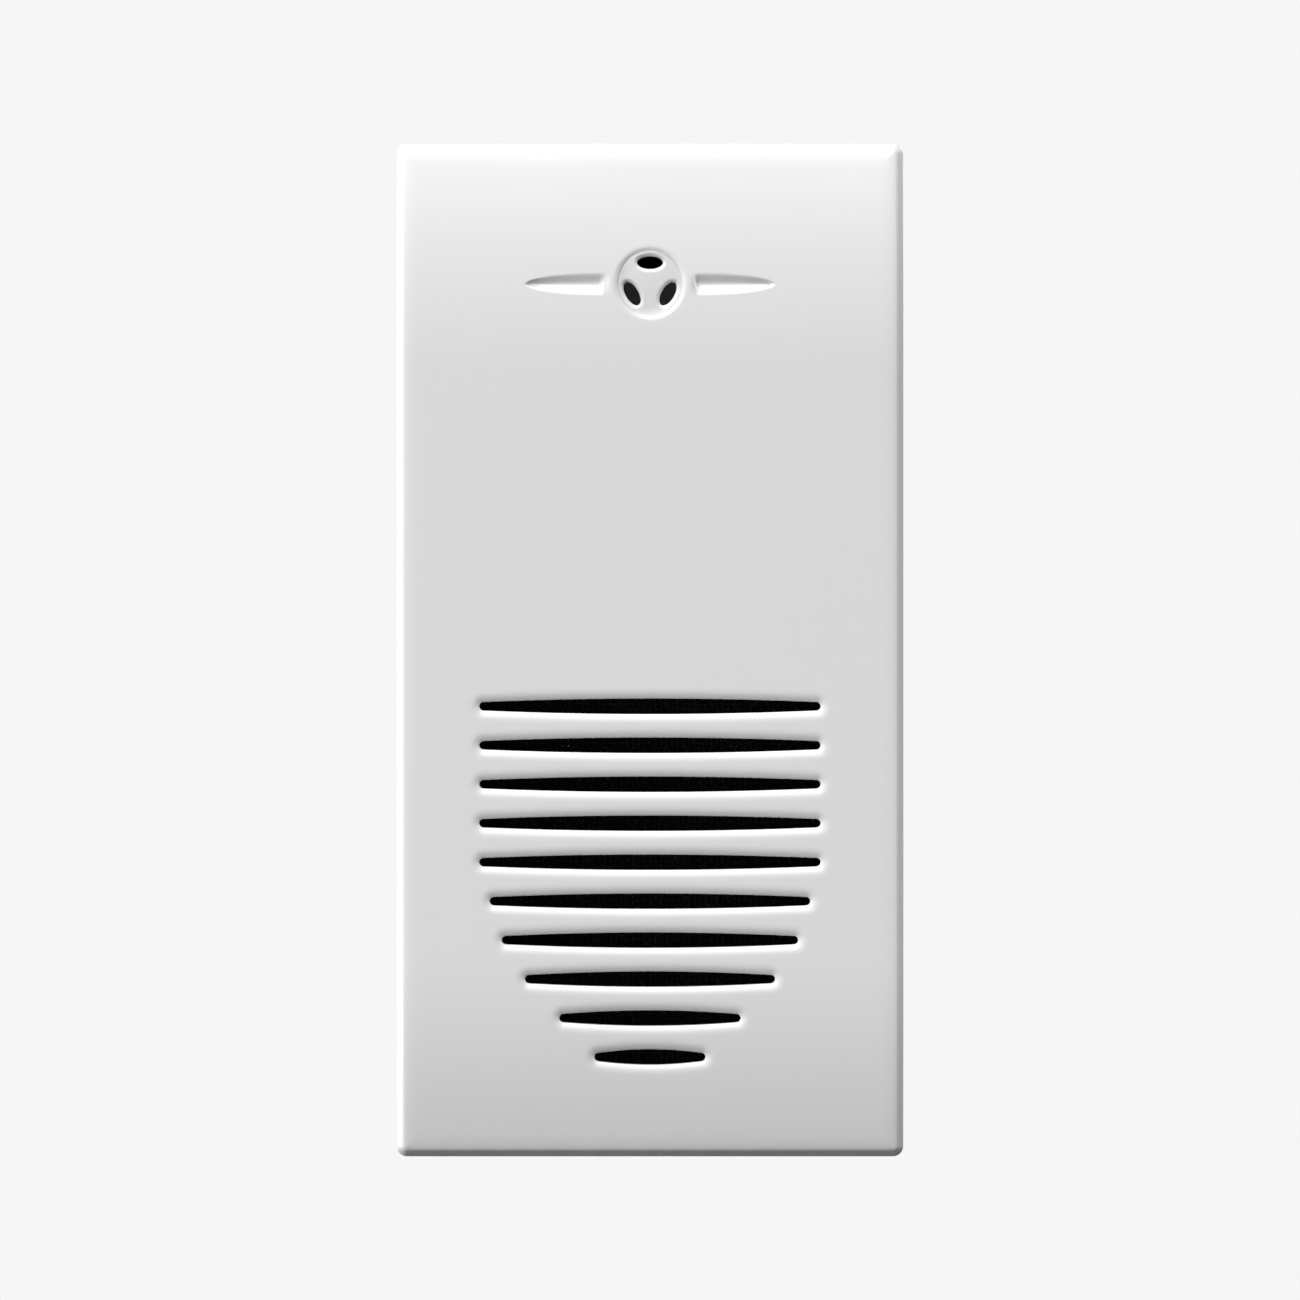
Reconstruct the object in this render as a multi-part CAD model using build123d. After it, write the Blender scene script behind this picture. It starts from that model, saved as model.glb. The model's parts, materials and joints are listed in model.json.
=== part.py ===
from build123d import *
import math
import os

os.makedirs("parts", exist_ok=True)

# One-module flush chime: a slotted cover in front, a mechanism box behind it.
# X is to the right, Y points back into the wall box, Z is up. Y = 0 is the plane
# where the flange seats on the support frame, and X = Z = 0 is the module's middle.

# The whole module
module_width = 22.5
module_height = 45.0
front_depth = 9.0
rear_depth = 26.0

# Clearances that more than one piece uses
running_gap = 0.03
seat_gap = 0.05
slide_gap = 0.1
strike_gap = 0.06
overrun = 1.0

# Cover: its face is flat in the middle and rolls back at the top and the bottom
cover_wall = 1.1
cover_front_wall = 1.6
cover_edge_radius = 0.45
flat_above_middle = 12.65
flat_below_middle = 13.73
top_drop = 1.0
bottom_drop = 0.85
key_width = 2.0
key_height = 0.6
key_spacing = 10.0
screen_pin_radius = 0.5
screen_pin_length = 0.9

# Sound slots: ten lens shapes that close in towards the bottom
slot_side_margin = 3.685
slot_height = 0.665
slot_end_radius = 0.155
slot_pitch = 1.73
slot_rim = 0.13
lowest_slot_rise = 4.45
slot_width_shares = (1, 1, 1, 1, 1, 0.939, 0.868, 0.733, 0.531, 0.325)

# Volume dial and the two index grooves beside it
dial_from_top = 6.22
dial_radius = 1.42
dial_recess = 0.1
dial_edge = 0.04
dial_hole_ring = 0.92
dial_hole_length = 1.16
dial_hole_width = 0.58
dial_collar_radius = 2.2
dial_collar_thickness = 0.5
dial_hub_radius = 1.3
dial_hub_length = 0.6
dial_hole_count = 3
groove_start = 1.95
groove_length = 3.64
groove_height = 0.89
groove_depth = 0.21
groove_rim = 0.1
groove_bow_share = 0.83
spindle_radius = 0.4
spindle_head_radius = 0.52
spindle_head_length = 0.9
spindle_tip_round = 0.15
retainer_thickness = 0.5
retainer_width = 9.0
retainer_height = 3.8
retainer_corner = 0.9
retainer_pin_radius = 0.5
retainer_pin_spacing = 7.0

# Dust screen behind the slots
screen_thickness = 0.3
screen_margin = 1.3

# Rear housing with its flange and the neck that the cover sits on
flange_thickness = 1.5
flange_inset = 0.1
neck_length = 3.0
neck_wall = 1.0
box_inset = 0.3
box_step = 1.8
box_wall = 1.2
box_corner_radius = 0.8
flange_corner_radius = 0.5
clip_guard_width = 0.8
clip_guard_height = 0.7
clip_guard_gap = 0.3
snap_rib_depth = 0.75
snap_rib_height = 4.0
snap_rib_reach = 0.35
cooling_slit_width = 0.9
cooling_slit_length = 7.0
cooling_slit_count = 4
cooling_slit_pitch = 2.0
panel_depth = 0.3
panel_margin = 3.0
panel_corner_radius = 1.0

# Electromagnet
rail_thickness = 2.0
pivot_drop = 1.5
coil_below_pivot = 12.0
armature_angle = 3.5
armature_thickness = 1.2
armature_length = 17.0
knuckle_wall = 0.6
pin_radius = 0.5
pin_head_radius = 0.95
pin_head_length = 0.5
pin_end_length = 0.9
pin_groove_depth = 0.15
pin_clip_mouth_share = 0.8
shim_thickness = 0.12
core_radius = 2.0
core_head_radius = 2.6
core_head_thickness = 0.5
bobbin_length = 14.6
bobbin_flange = 0.8
bobbin_side_gap = 2.75
bobbin_flange_corner = 1.0
bobbin_tube_wall = 0.7
winding_inset = 0.7
tape_thickness = 0.15
tape_width = 8.0
yoke_thickness = 1.2
yoke_top_gap = 0.7
yoke_front_gap = 0.6
ear_gap = 0.4
ear_thickness = 1.2
ear_margin = 0.9
ear_length = 5.0
yoke_screw_radius = 1.0
yoke_screw_head_radius = 1.9
yoke_screw_head_length = 1.3
yoke_screw_recess = 1.5
yoke_boss_wall = 1.4
yoke_screw_inset = 2.1
yoke_screw_drop = 1.0
screw_slot_width = 0.45
screw_slot_depth = 0.6

# Return spring on the pivot pin
spring_wire = 0.3
spring_inset = 1.5
spring_width = 1.8
spring_leg_length = 3.4

# Striker
arm_thickness = 0.5
arm_half_width = 1.0
arm_overlap = 5.5
rivet_radius = 0.6
rivet_head_radius = 1.0
rivet_head_thickness = 0.4
rivet_pitch = 3.0
hammer_radius = 1.6
hammer_length = 2.4
hammer_tip_round = 0.5
hammer_stud_radius = 0.7
hammer_stud_head_radius = 1.2
hammer_stud_head_thickness = 0.4

# Gong and what carries it
gong_wall = 0.8
gong_depth = 4.0
gong_side_gap = 1.75
gong_wall_gap = 0.5
gong_coil_gap = 2.0
gong_rim_gap = 1.7
gong_shoulder_radius = 1.6
strike_inset = 2.2
gong_screw_radius = 0.95
gong_screw_head_radius = 1.9
gong_screw_head_length = 1.1
gong_screw_grip = 3.0
washer_radius = 2.3
washer_thickness = 0.3
bush_wall = 0.55
bush_flange_radius = 2.4
bush_flange_thickness = 0.6
post_radius = 1.9
post_spigot_radius = 1.2
post_spigot_length = 1.2

# Terminal block with rising cage clamps
block_coil_gap = 3.0
block_side_gap = 0.8
block_wall = 1.7
plinth_inset = 1.1
plinth_margin = 0.3
terminal_place_share = 0.5475
wire_radius = 1.5
wire_stop = 2.0
wire_funnel_depth = 0.6
wire_funnel_spread = 0.6
cage_width = 5.0
cage_height = 4.0
cage_wall = 0.8
cage_nut_thickness = 1.2
cage_travel = 2.0
terminal_screw_radius = 1.25
terminal_screw_head_radius = 2.3
terminal_screw_head_length = 1.6
terminal_shank_length = 4.25
terminal_well_depth = 2.4
terminal_well_gap = 0.25
contact_bar_thickness = 0.8
contact_bar_reach = 4.0
contact_tab_half_width = 0.5
lead_radius = 0.2
lead_length = 0.75

# Retaining clips, top and bottom
clip_width = 8.0
clip_thickness = 0.4
clip_block_gap = 1.4
clip_root_lift = 0.15
clip_tip_height = 1.0
clip_tip_gap = 0.15
clip_tab_depth = 0.9
clip_slot_gap = 0.15

# Places that follow from the sizes above
quarter_turn = 90
half_width = module_width / 2
half_height = module_height / 2
face_front = -front_depth
cover_back = -flange_thickness - seat_gap
cover_inner_face = face_front + cover_front_wall
cover_inner_x = half_width - cover_wall
cover_inner_z = half_height - cover_wall
box_half_x = half_width - box_inset
box_half_z = half_height - box_step
inner_x = box_half_x - box_wall
inner_z = box_half_z - box_wall
neck_half_x = cover_inner_x - slide_gap
neck_half_z = cover_inner_z - slide_gap
neck_front = -flange_thickness - neck_length
back_wall_inside = rear_depth - box_wall
dial_z = half_height - dial_from_top
slot_width = module_width - 2 * slot_side_margin

# Widths of the electromagnet, from the room between the side walls
bobbin_half = inner_x - bobbin_side_gap
winding_radius = bobbin_half - winding_inset
yoke_half_width = bobbin_half
ear_outside = yoke_half_width
ear_inside = ear_outside - ear_thickness
armature_half_width = ear_inside - ear_gap
spring_end = armature_half_width - spring_inset
spring_start = spring_end - spring_width
knuckle_radius = pin_radius + running_gap + knuckle_wall

# Heights: the pivot hangs from the box's top, the gong stands on its bottom
pivot_z = inner_z - pivot_drop
coil_z = pivot_z - coil_below_pivot
coil_bottom = coil_z - bobbin_half
coil_top = coil_z + bobbin_half
yoke_under = coil_top + yoke_top_gap
yoke_over = yoke_under + yoke_thickness
armature_bottom = pivot_z - armature_length
gong_bottom = -inner_z + gong_wall_gap
gong_room_up = (coil_bottom - gong_coil_gap - gong_bottom) / 2
gong_room_across = inner_x - gong_side_gap
gong_radius = min(gong_room_up, gong_room_across)
gong_z = gong_bottom + gong_radius
hammer_z = gong_z + gong_radius - strike_inset
hammer_lever = pivot_z - hammer_z

# Terminal block: its depths are counted forward from the back of the box
block_top = coil_bottom - block_coil_gap
block_bottom = -inner_z + seat_gap
block_half_x = inner_x - block_side_gap
plinth_half_x = block_half_x - plinth_inset
block_rear = back_wall_inside - seat_gap
terminal_x = block_half_x * terminal_place_share
terminal_z = (block_top + block_bottom) / 2
terminal_head_rear = rear_depth - terminal_well_depth
terminal_head_seat = terminal_head_rear - terminal_screw_head_length
bar_rear = terminal_head_seat - terminal_shank_length - seat_gap
bar_front = bar_rear - contact_bar_thickness
wire_y = bar_front - slide_gap - wire_radius
cage_front = wire_y - wire_radius - slide_gap - cage_wall
cage_nut_rear = terminal_head_seat - slide_gap - cage_travel
pocket_front = cage_front - slide_gap
block_front = pocket_front - block_wall

# The gong stands off the block, and the striker's pivot is set off the gong
gong_rim = block_front - gong_rim_gap
gong_front = gong_rim - gong_depth
bush_rear = gong_front + gong_wall + bush_flange_thickness
gong_hole_radius = gong_screw_radius + running_gap + bush_wall
armature_swing = math.sin(math.radians(armature_angle))
hammer_travel = (hammer_lever + hammer_radius) * armature_swing
hammer_tip = gong_front - strike_gap - hammer_travel
armature_front = hammer_tip - hammer_length
armature_back = armature_front + armature_thickness
pivot_y = (armature_front + armature_back) / 2

# Electromagnet behind the armature
pole_gap = (pivot_z - coil_z + core_head_radius) * armature_swing + strike_gap
shim_front = armature_back + pole_gap
pole_face = shim_front + shim_thickness
bobbin_front = pole_face + core_head_thickness + seat_gap
bobbin_rear = bobbin_front + bobbin_length
yoke_rear = bobbin_rear + yoke_thickness
yoke_front = armature_back + yoke_front_gap

clip_root = block_front - clip_block_gap
clip_tip = rail_thickness + clip_tip_gap


def span(x, y, z):
    """A block between two limits on each axis."""
    size = [high - low for low, high in (x, y, z)]
    middle = [(high + low) / 2 for low, high in (x, y, z)]
    return Pos(*middle) * Box(*size)


def rod_y(radius, y, x=0, z=0):
    """A round bar along Y between two limits."""
    low, high = y
    bar = Cylinder(radius, high - low, align=(Align.CENTER, Align.CENTER, Align.MIN))
    return Pos(x, low, z) * Rot(-quarter_turn, 0, 0) * bar


def rod_x(radius, x, y, z):
    """A round bar along X between two limits."""
    low, high = x
    bar = Cylinder(radius, high - low, align=(Align.CENTER, Align.CENTER, Align.MIN))
    return Pos(low, y, z) * Rot(0, quarter_turn, 0) * bar


def rod_z(radius, z, x, y):
    """A round bar along Z between two limits."""
    low, high = z
    bar = Cylinder(radius, high - low, align=(Align.CENTER, Align.CENTER, Align.MIN))
    return Pos(x, y, low) * bar


def along_y(sketch, y):
    """A sketch drawn on X and Z, drawn out along Y between two limits."""
    low, high = y
    plane = Plane(origin=(0, high, 0), x_dir=(1, 0, 0), z_dir=(0, -1, 0))
    return extrude(plane * sketch, amount=high - low)


def along_x(points, half):
    """An outline of (y, z) points, drawn out along X to both sides of the middle."""
    outline = make_face(Plane.YZ * Polyline(*points, close=True))
    return extrude(outline, amount=half, both=True)


def round_depth_edges(solid, radius):
    """Rounds the edges of a block that run along Y."""
    return fillet(solid.edges().filter_by(Axis.Y), radius)


def roll_radius(run, drop):
    """Radius of an arc that leaves the flat face without a kink and drops back."""
    return (run**2 + drop**2) / (2 * drop)


def face_y(z):
    """Y of the cover's outer face at a height."""
    if z > flat_above_middle:
        run, drop, past = half_height - flat_above_middle, top_drop, z - flat_above_middle
    elif z < -flat_below_middle:
        run, drop, past = half_height - flat_below_middle, bottom_drop, -z - flat_below_middle
    else:
        return face_front
    radius = roll_radius(run, drop)
    return face_front + radius - math.sqrt(radius**2 - past**2)


def cover_block():
    """The cover's outer form before it is hollowed."""
    top_turn = (half_height + flat_above_middle) / 2
    bottom_turn = -(half_height + flat_below_middle) / 2
    low_flat = (face_front, -flat_below_middle)
    high_flat = (face_front, flat_above_middle)
    low_edge = (face_y(-half_height), -half_height)
    high_edge = (face_y(half_height), half_height)
    low_back = (cover_back, -half_height)
    high_back = (cover_back, half_height)
    outline = [
        Line(low_back, low_edge),
        ThreePointArc(low_edge, (face_y(bottom_turn), bottom_turn), low_flat),
        Line(low_flat, high_flat),
        ThreePointArc(high_flat, (face_y(top_turn), top_turn), high_edge),
        Line(high_edge, high_back),
        Line(high_back, low_back),
    ]
    block = extrude(make_face(Plane.YZ * Curve(outline)), amount=half_width, both=True)
    rounded = []
    for edge in block.edges():
        middle = edge.center()
        at_back = middle.Y > cover_back - seat_gap
        across_face = abs(middle.X) < seat_gap and middle.Y < face_front + seat_gap
        if not at_back and not across_face:
            rounded.append(edge)
    return fillet(rounded, cover_edge_radius)


def slot_places():
    """Height and width of each sound slot, from the top one down."""
    rows = len(slot_width_shares)
    lowest = -half_height + lowest_slot_rise
    return [
        (lowest + (rows - 1 - row) * slot_pitch, share * slot_width)
        for row, share in enumerate(slot_width_shares)
    ]


def lens(width, height, end_radius):
    """A slot outline: two long flat arcs that run into small round ends."""
    reach = width / 2 - end_radius
    rise = height / 2
    arc = (reach**2 + rise**2 - end_radius**2) / (2 * (rise - end_radius))
    scale = arc / (arc - end_radius)
    join_x = reach * scale
    join_y = rise - arc + (arc - rise) * scale
    return make_face(
        [
            ThreePointArc((-join_x, join_y), (0, rise), (join_x, join_y)),
            ThreePointArc((join_x, join_y), (width / 2, 0), (join_x, -join_y)),
            ThreePointArc((join_x, -join_y), (0, -rise), (-join_x, -join_y)),
            ThreePointArc((-join_x, -join_y), (-width / 2, 0), (-join_x, join_y)),
        ]
    )


def groove_outline(side):
    """Half a lens: square beside the dial, and a point at the outer end."""
    start = side * groove_start
    tip = side * (groove_start + groove_length)
    middle = side * (groove_start + groove_length / 2)
    rise = groove_height / 2
    bow = rise * groove_bow_share
    return make_face(
        [
            Line((start, dial_z - rise), (start, dial_z + rise)),
            ThreePointArc((start, dial_z + rise), (middle, dial_z + bow), (tip, dial_z)),
            ThreePointArc((tip, dial_z), (middle, dial_z - bow), (start, dial_z - rise)),
        ]
    )


def on_face(edge, x, z):
    """True for an edge that lies on the cover's outer face within two limits."""
    middle = edge.center()
    near = abs(middle.Y - face_y(middle.Z)) < slot_rim / 2
    return near and x[0] < middle.X < x[1] and z[0] < middle.Z < z[1]


def front_cover():
    """Moulded cover: hollow cap, sound slots, dial hole, index grooves and keys."""
    cover = cover_block()
    cover -= span(
        (-cover_inner_x, cover_inner_x),
        (cover_inner_face, cover_back + overrun),
        (-cover_inner_z, cover_inner_z),
    )
    through = (face_front - overrun, cover_inner_face + overrun)
    for height, width in slot_places():
        slot = lens(width, slot_height, slot_end_radius)
        cover -= along_y(Pos(0, height) * slot, through)
    heights = [height for height, width in slot_places()]
    across = (-slot_width / 2 - slot_rim, slot_width / 2 + slot_rim)
    band = (heights[-1] - slot_height, heights[0] + slot_height)
    rims = [edge for edge in cover.edges() if on_face(edge, across, band)]
    cover = fillet(rims, slot_rim)
    cover -= rod_y(dial_radius + seat_gap, through, z=dial_z)
    dial_top = face_y(dial_z)
    for side in (-1, 1):
        cover -= along_y(groove_outline(side), (face_front - overrun, dial_top + groove_depth))
    band = (dial_z - dial_radius - groove_rim, dial_z + dial_radius + groove_rim)
    reach = groove_start + groove_length + groove_rim
    rims = [edge for edge in cover.edges() if on_face(edge, (-reach, reach), band)]
    cover = fillet(rims, groove_rim)
    cover += cover_fittings()
    return cover


def cover_fittings():
    """Pins that hold the screen and the dial retainer, and the keys for the neck."""
    fittings = []
    root = cover_inner_face - seat_gap
    pin_back = cover_inner_face + seat_gap + screen_thickness + screen_pin_length
    for x, z in screen_pin_places():
        fittings.append(rod_y(screen_pin_radius, (root, pin_back), x, z))
    shoulder = retainer_front() - seat_gap
    pin_back = retainer_front() + retainer_thickness + screen_pin_length
    for side in (-1, 1):
        x = side * retainer_pin_spacing / 2
        fittings.append(rod_y(retainer_pin_radius, (root, pin_back), x, dial_z))
        fittings.append(rod_y(2 * retainer_pin_radius, (root, shoulder), x, dial_z))
    for x, side in key_places():
        inner = cover_inner_z - key_height
        across = (x - key_width / 2, x + key_width / 2)
        up = sorted((side * inner, side * (cover_inner_z + seat_gap)))
        fittings.append(span(across, (cover_inner_face, cover_back), up))
    return fittings


def key_places():
    """X and top or bottom side of each key that guides the cover onto the neck."""
    return [(x, side) for x in (-key_spacing / 2, key_spacing / 2) for side in (-1, 1)]


def screen_limits():
    """The dust screen's limits across and up."""
    heights = [height for height, width in slot_places()]
    half = slot_width / 2 + screen_margin
    return (-half, half), (-cover_inner_z + screen_margin, heights[0] + screen_margin)


def screen_pin_places():
    """Corners of the dust screen where a pin passes through."""
    (left, right), (low, high) = screen_limits()
    inset = screen_margin / 2
    return [(x, z) for x in (left + inset, right - inset) for z in (low + inset, high - inset)]


def dust_screen():
    """Gauze sheet behind the slots, pierced at its corners for the pins."""
    across, up = screen_limits()
    front = cover_inner_face + seat_gap
    sheet = span(across, (front, front + screen_thickness), up)
    for x, z in screen_pin_places():
        hole = (front - overrun, front + screen_thickness + overrun)
        sheet -= rod_y(screen_pin_radius + seat_gap, hole, x, z)
    return sheet


def retainer_front():
    """Front of the plate that keeps the dial in the cover."""
    return cover_inner_face + dial_collar_thickness + 2 * seat_gap


def volume_dial():
    """Round adjuster with three slanting holes, a collar behind and a hub."""
    front = face_y(dial_z) + dial_recess
    collar_front = cover_inner_face + seat_gap
    collar_back = collar_front + dial_collar_thickness
    hub_back = collar_back + dial_hub_length
    disc = rod_y(dial_radius, (front, collar_front), z=dial_z)
    disc = chamfer(disc.edges().group_by(Axis.Y)[0], dial_edge)
    disc += rod_y(dial_collar_radius, (collar_front, collar_back), z=dial_z)
    disc += rod_y(dial_hub_radius, (collar_back, hub_back), z=dial_z)
    socket = (hub_back - spindle_head_length, hub_back + overrun)
    disc -= rod_y(spindle_head_radius + running_gap, socket, z=dial_z)
    for index in range(dial_hole_count):
        turn = quarter_turn + index * 4 * quarter_turn / dial_hole_count
        x = dial_hole_ring * math.cos(math.radians(turn))
        z = dial_z + dial_hole_ring * math.sin(math.radians(turn))
        oval = Ellipse(dial_hole_length / 2, dial_hole_width / 2)
        oval = Pos(x, z) * Rot(0, 0, turn + quarter_turn) * oval
        disc -= along_y(oval, (front - overrun, hub_back + overrun))
    return disc


def adjuster_spindle():
    """Brass stud pressed into the dial, whose rounded tip stops the armature."""
    head_back = cover_inner_face + seat_gap + dial_collar_thickness + dial_hub_length
    head_front = head_back - spindle_head_length + seat_gap
    stud = rod_y(spindle_head_radius, (head_front, head_back), z=dial_z)
    tip = armature_front - seat_gap
    stud += rod_y(spindle_radius, (head_back, tip), z=dial_z)
    return fillet(stud.edges().group_by(Axis.Y)[-1], spindle_tip_round)


def dial_retainer():
    """Sheet brass bridge behind the dial, on two pins of the cover."""
    front = retainer_front()
    limits = (front, front + retainer_thickness)
    plate = span(
        (-retainer_width / 2, retainer_width / 2),
        limits,
        (dial_z - retainer_height / 2, dial_z + retainer_height / 2),
    )
    plate = round_depth_edges(plate, retainer_corner)
    through = (front - overrun, front + retainer_thickness + overrun)
    plate -= rod_y(dial_hub_radius + running_gap, through, z=dial_z)
    for side in (-1, 1):
        x = side * retainer_pin_spacing / 2
        plate -= rod_y(retainer_pin_radius + seat_gap, through, x, dial_z)
    return plate


def yoke_screw_places():
    """The two screws stand on opposite corners of the yoke's back plate."""
    side = yoke_half_width - yoke_screw_inset
    rise = bobbin_half - yoke_screw_drop
    return [(-side, coil_z + rise), (side, coil_z - rise)]


def rear_housing():
    """Moulded box with a flange, a neck for the cover and bosses for the yoke."""
    flange = round_depth_edges(
        span(
            (-half_width + flange_inset, half_width - flange_inset),
            (-flange_thickness, 0),
            (-half_height + flange_inset, half_height - flange_inset),
        ),
        flange_corner_radius,
    )
    box = round_depth_edges(
        span((-box_half_x, box_half_x), (0, rear_depth), (-box_half_z, box_half_z)),
        box_corner_radius,
    )
    neck = span((-neck_half_x, neck_half_x), (neck_front, -flange_thickness), (-neck_half_z, neck_half_z))
    housing = flange + box + neck
    mouth_x = neck_half_x - neck_wall
    housing -= span((-mouth_x, mouth_x), (neck_front - overrun, overrun), (-inner_z, inner_z))
    housing -= span((-inner_x, inner_x), (0, back_wall_inside), (-inner_z, inner_z))
    housing += yoke_bosses() + snap_ribs() + clip_guards()
    housing -= yoke_screw_holes()
    housing -= clip_slots() + key_ways() + panel_recesses() + cooling_slits()
    return housing - terminal_window()


def terminal_window():
    """Opening in the back and bottom walls that the terminal block fills."""
    half = plinth_half_x + slide_gap
    front = block_front + plinth_margin - slide_gap
    top = block_top - plinth_margin + slide_gap
    return span((-half, half), (front, rear_depth + overrun), (-box_half_z - overrun, top))


def yoke_bosses():
    """Two round bosses between the back wall and the yoke."""
    radius = yoke_screw_radius + yoke_boss_wall
    limits = (yoke_rear, back_wall_inside + seat_gap)
    return [rod_y(radius, limits, x, z) for x, z in yoke_screw_places()]


def yoke_screw_holes():
    """Screw holes through the bosses, with a round recess for each head."""
    holes = []
    seat = rear_depth - yoke_screw_recess - yoke_screw_head_length
    for x, z in yoke_screw_places():
        holes.append(rod_y(yoke_screw_radius + slide_gap, (yoke_rear - overrun, rear_depth), x, z))
        holes.append(rod_y(yoke_screw_head_radius + slide_gap, (seat, rear_depth + overrun), x, z))
    return holes


def snap_ribs():
    """Ribs on the side walls that stand in front of the terminal block."""
    ribs = []
    rear = block_front - seat_gap
    inner = block_half_x - snap_rib_reach
    middle = (block_top + block_bottom) / 2
    for side in (-1, 1):
        limits = sorted((side * inner, side * (inner_x + seat_gap)))
        for shift in (-snap_rib_height, snap_rib_height):
            z = (middle + shift - snap_rib_height / 2, middle + shift + snap_rib_height / 2)
            ribs.append(span(limits, (rear - snap_rib_depth, rear), z))
    return ribs


def clip_guards():
    """Low ribs on both sides of each retaining clip."""
    guards = []
    inner = clip_width / 2 + clip_guard_gap
    outer = inner + clip_guard_width
    front = rail_thickness + clip_tip_gap
    rear = clip_root + clip_guard_width
    for side in (-1, 1):
        x = sorted((side * inner, side * outer))
        for end in (-1, 1):
            z = sorted((end * (box_half_z - seat_gap), end * (box_half_z + clip_guard_height)))
            guards.append(span(x, (front, rear), z))
    return guards


def clip_slots():
    """A slot in the top wall and one in the bottom wall for the clips' tabs."""
    slots = []
    half = clip_width / 2 + clip_slot_gap
    limits = (clip_root - clip_slot_gap, clip_root + clip_thickness + clip_slot_gap)
    for end in (-1, 1):
        z = sorted((end * (inner_z - overrun / 2), end * (box_half_z + overrun)))
        slots.append(span((-half, half), limits, z))
    return slots


def key_ways():
    """Grooves in the neck that take the cover's keys."""
    ways = []
    for x, side in key_places():
        half = key_width / 2 + slide_gap
        z = sorted((side * (cover_inner_z - key_height - slide_gap), side * (cover_inner_z + overrun)))
        ways.append(span((x - half, x + half), (neck_front - overrun, -flange_thickness), z))
    return ways


def panel_recesses():
    """Shallow recessed panels on both sides and on the back above the terminals."""
    half_z = box_half_z - panel_margin
    side_y = (panel_margin, rear_depth - panel_margin / 2)
    side_z = (-half_z, half_z)
    recesses = []
    for side in (-1, 1):
        x = sorted((side * (box_half_x - panel_depth), side * (box_half_x + overrun)))
        panel = span(x, side_y, side_z)
        recesses.append(fillet(panel.edges().filter_by(Axis.X), panel_corner_radius))
    half_x = box_half_x - panel_margin / 2
    back = span(
        (-half_x, half_x),
        (rear_depth - panel_depth, rear_depth + overrun),
        (block_top + panel_margin / 2, half_z + panel_margin / 2),
    )
    return recesses + [round_depth_edges(back, panel_corner_radius)]


def cooling_slits():
    """Upright slits in both side walls, level with the coil."""
    slits = []
    middle = (bobbin_front + bobbin_rear) / 2
    for side in (-1, 1):
        x = sorted((side * (inner_x - overrun / 2), side * (box_half_x + overrun)))
        for index in range(cooling_slit_count):
            y = middle + (index - (cooling_slit_count - 1) / 2) * cooling_slit_pitch
            limits = (y - cooling_slit_width / 2, y + cooling_slit_width / 2)
            z = (coil_z - cooling_slit_length / 2, coil_z + cooling_slit_length / 2)
            slits.append(span(x, limits, z))
    return slits


def yoke():
    """Bent steel frame: back plate, top plate and two ears for the pivot pin."""
    lowest = coil_bottom
    frame = span((-yoke_half_width, yoke_half_width), (bobbin_rear, yoke_rear), (lowest, yoke_over))
    frame += span((-yoke_half_width, yoke_half_width), (yoke_front, yoke_rear), (yoke_under, yoke_over))
    ear_front = pivot_y - pin_radius - ear_margin
    for side in (-1, 1):
        x = sorted((side * ear_inside, side * ear_outside))
        ear_z = (yoke_under, pivot_z + pin_radius + ear_margin)
        ear = span(x, (ear_front, ear_front + ear_length), ear_z)
        ear = fillet(ear.edges().filter_by(Axis.X).group_by(Axis.Z)[-1], ear_margin)
        frame += ear
    pin_hole = (-ear_outside - overrun, ear_outside + overrun)
    frame -= rod_x(pin_radius + running_gap, pin_hole, pivot_y, pivot_z)
    through = (bobbin_rear - overrun, yoke_rear + overrun)
    frame -= rod_y(core_radius + running_gap, through, z=coil_z)
    for x, z in yoke_screw_places():
        frame -= rod_y(yoke_screw_radius + running_gap, through, x, z)
    return frame


def core_pole():
    """Soft iron core with a wider pole face, riveted in the yoke's back plate."""
    core = rod_y(core_head_radius, (pole_face, pole_face + core_head_thickness), z=coil_z)
    return core + rod_y(core_radius, (pole_face, yoke_rear), z=coil_z)


def residual_shim():
    """Thin brass disc that keeps the armature from sticking to the pole."""
    return rod_y(core_head_radius - shim_thickness, (shim_front, pole_face), z=coil_z)


def coil_bobbin():
    """Nylon bobbin: a tube with a square flange at each end."""
    tube_radius = core_radius + slide_gap + bobbin_tube_wall
    half = bobbin_half
    bobbin = rod_y(tube_radius, (bobbin_front, bobbin_rear), z=coil_z)
    for front in (bobbin_front, bobbin_rear - bobbin_flange):
        plate = span((-half, half), (front, front + bobbin_flange), (coil_z - half, coil_z + half))
        bobbin += round_depth_edges(plate, bobbin_flange_corner)
    bore = (bobbin_front - overrun, bobbin_rear + overrun)
    return bobbin - rod_y(core_radius + slide_gap, bore, z=coil_z)


def winding_limits():
    """Y limits of the winding between the bobbin's flanges."""
    return bobbin_front + bobbin_flange + seat_gap, bobbin_rear - bobbin_flange - seat_gap


def coil_winding():
    """Enamelled copper winding as one closed ring."""
    front, rear = winding_limits()
    inner = core_radius + slide_gap + bobbin_tube_wall + seat_gap
    ring = rod_y(winding_radius, (front, rear), z=coil_z)
    return ring - rod_y(inner, (front - overrun, rear + overrun), z=coil_z)


def coil_tape():
    """Band of tape round the middle of the winding."""
    middle = sum(winding_limits()) / 2
    band = (middle - tape_width / 2, middle + tape_width / 2)
    hole = (band[0] - overrun, band[1] + overrun)
    ring = rod_y(winding_radius + seat_gap / 2 + tape_thickness, band, z=coil_z)
    return ring - rod_y(winding_radius + seat_gap / 2, hole, z=coil_z)


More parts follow.
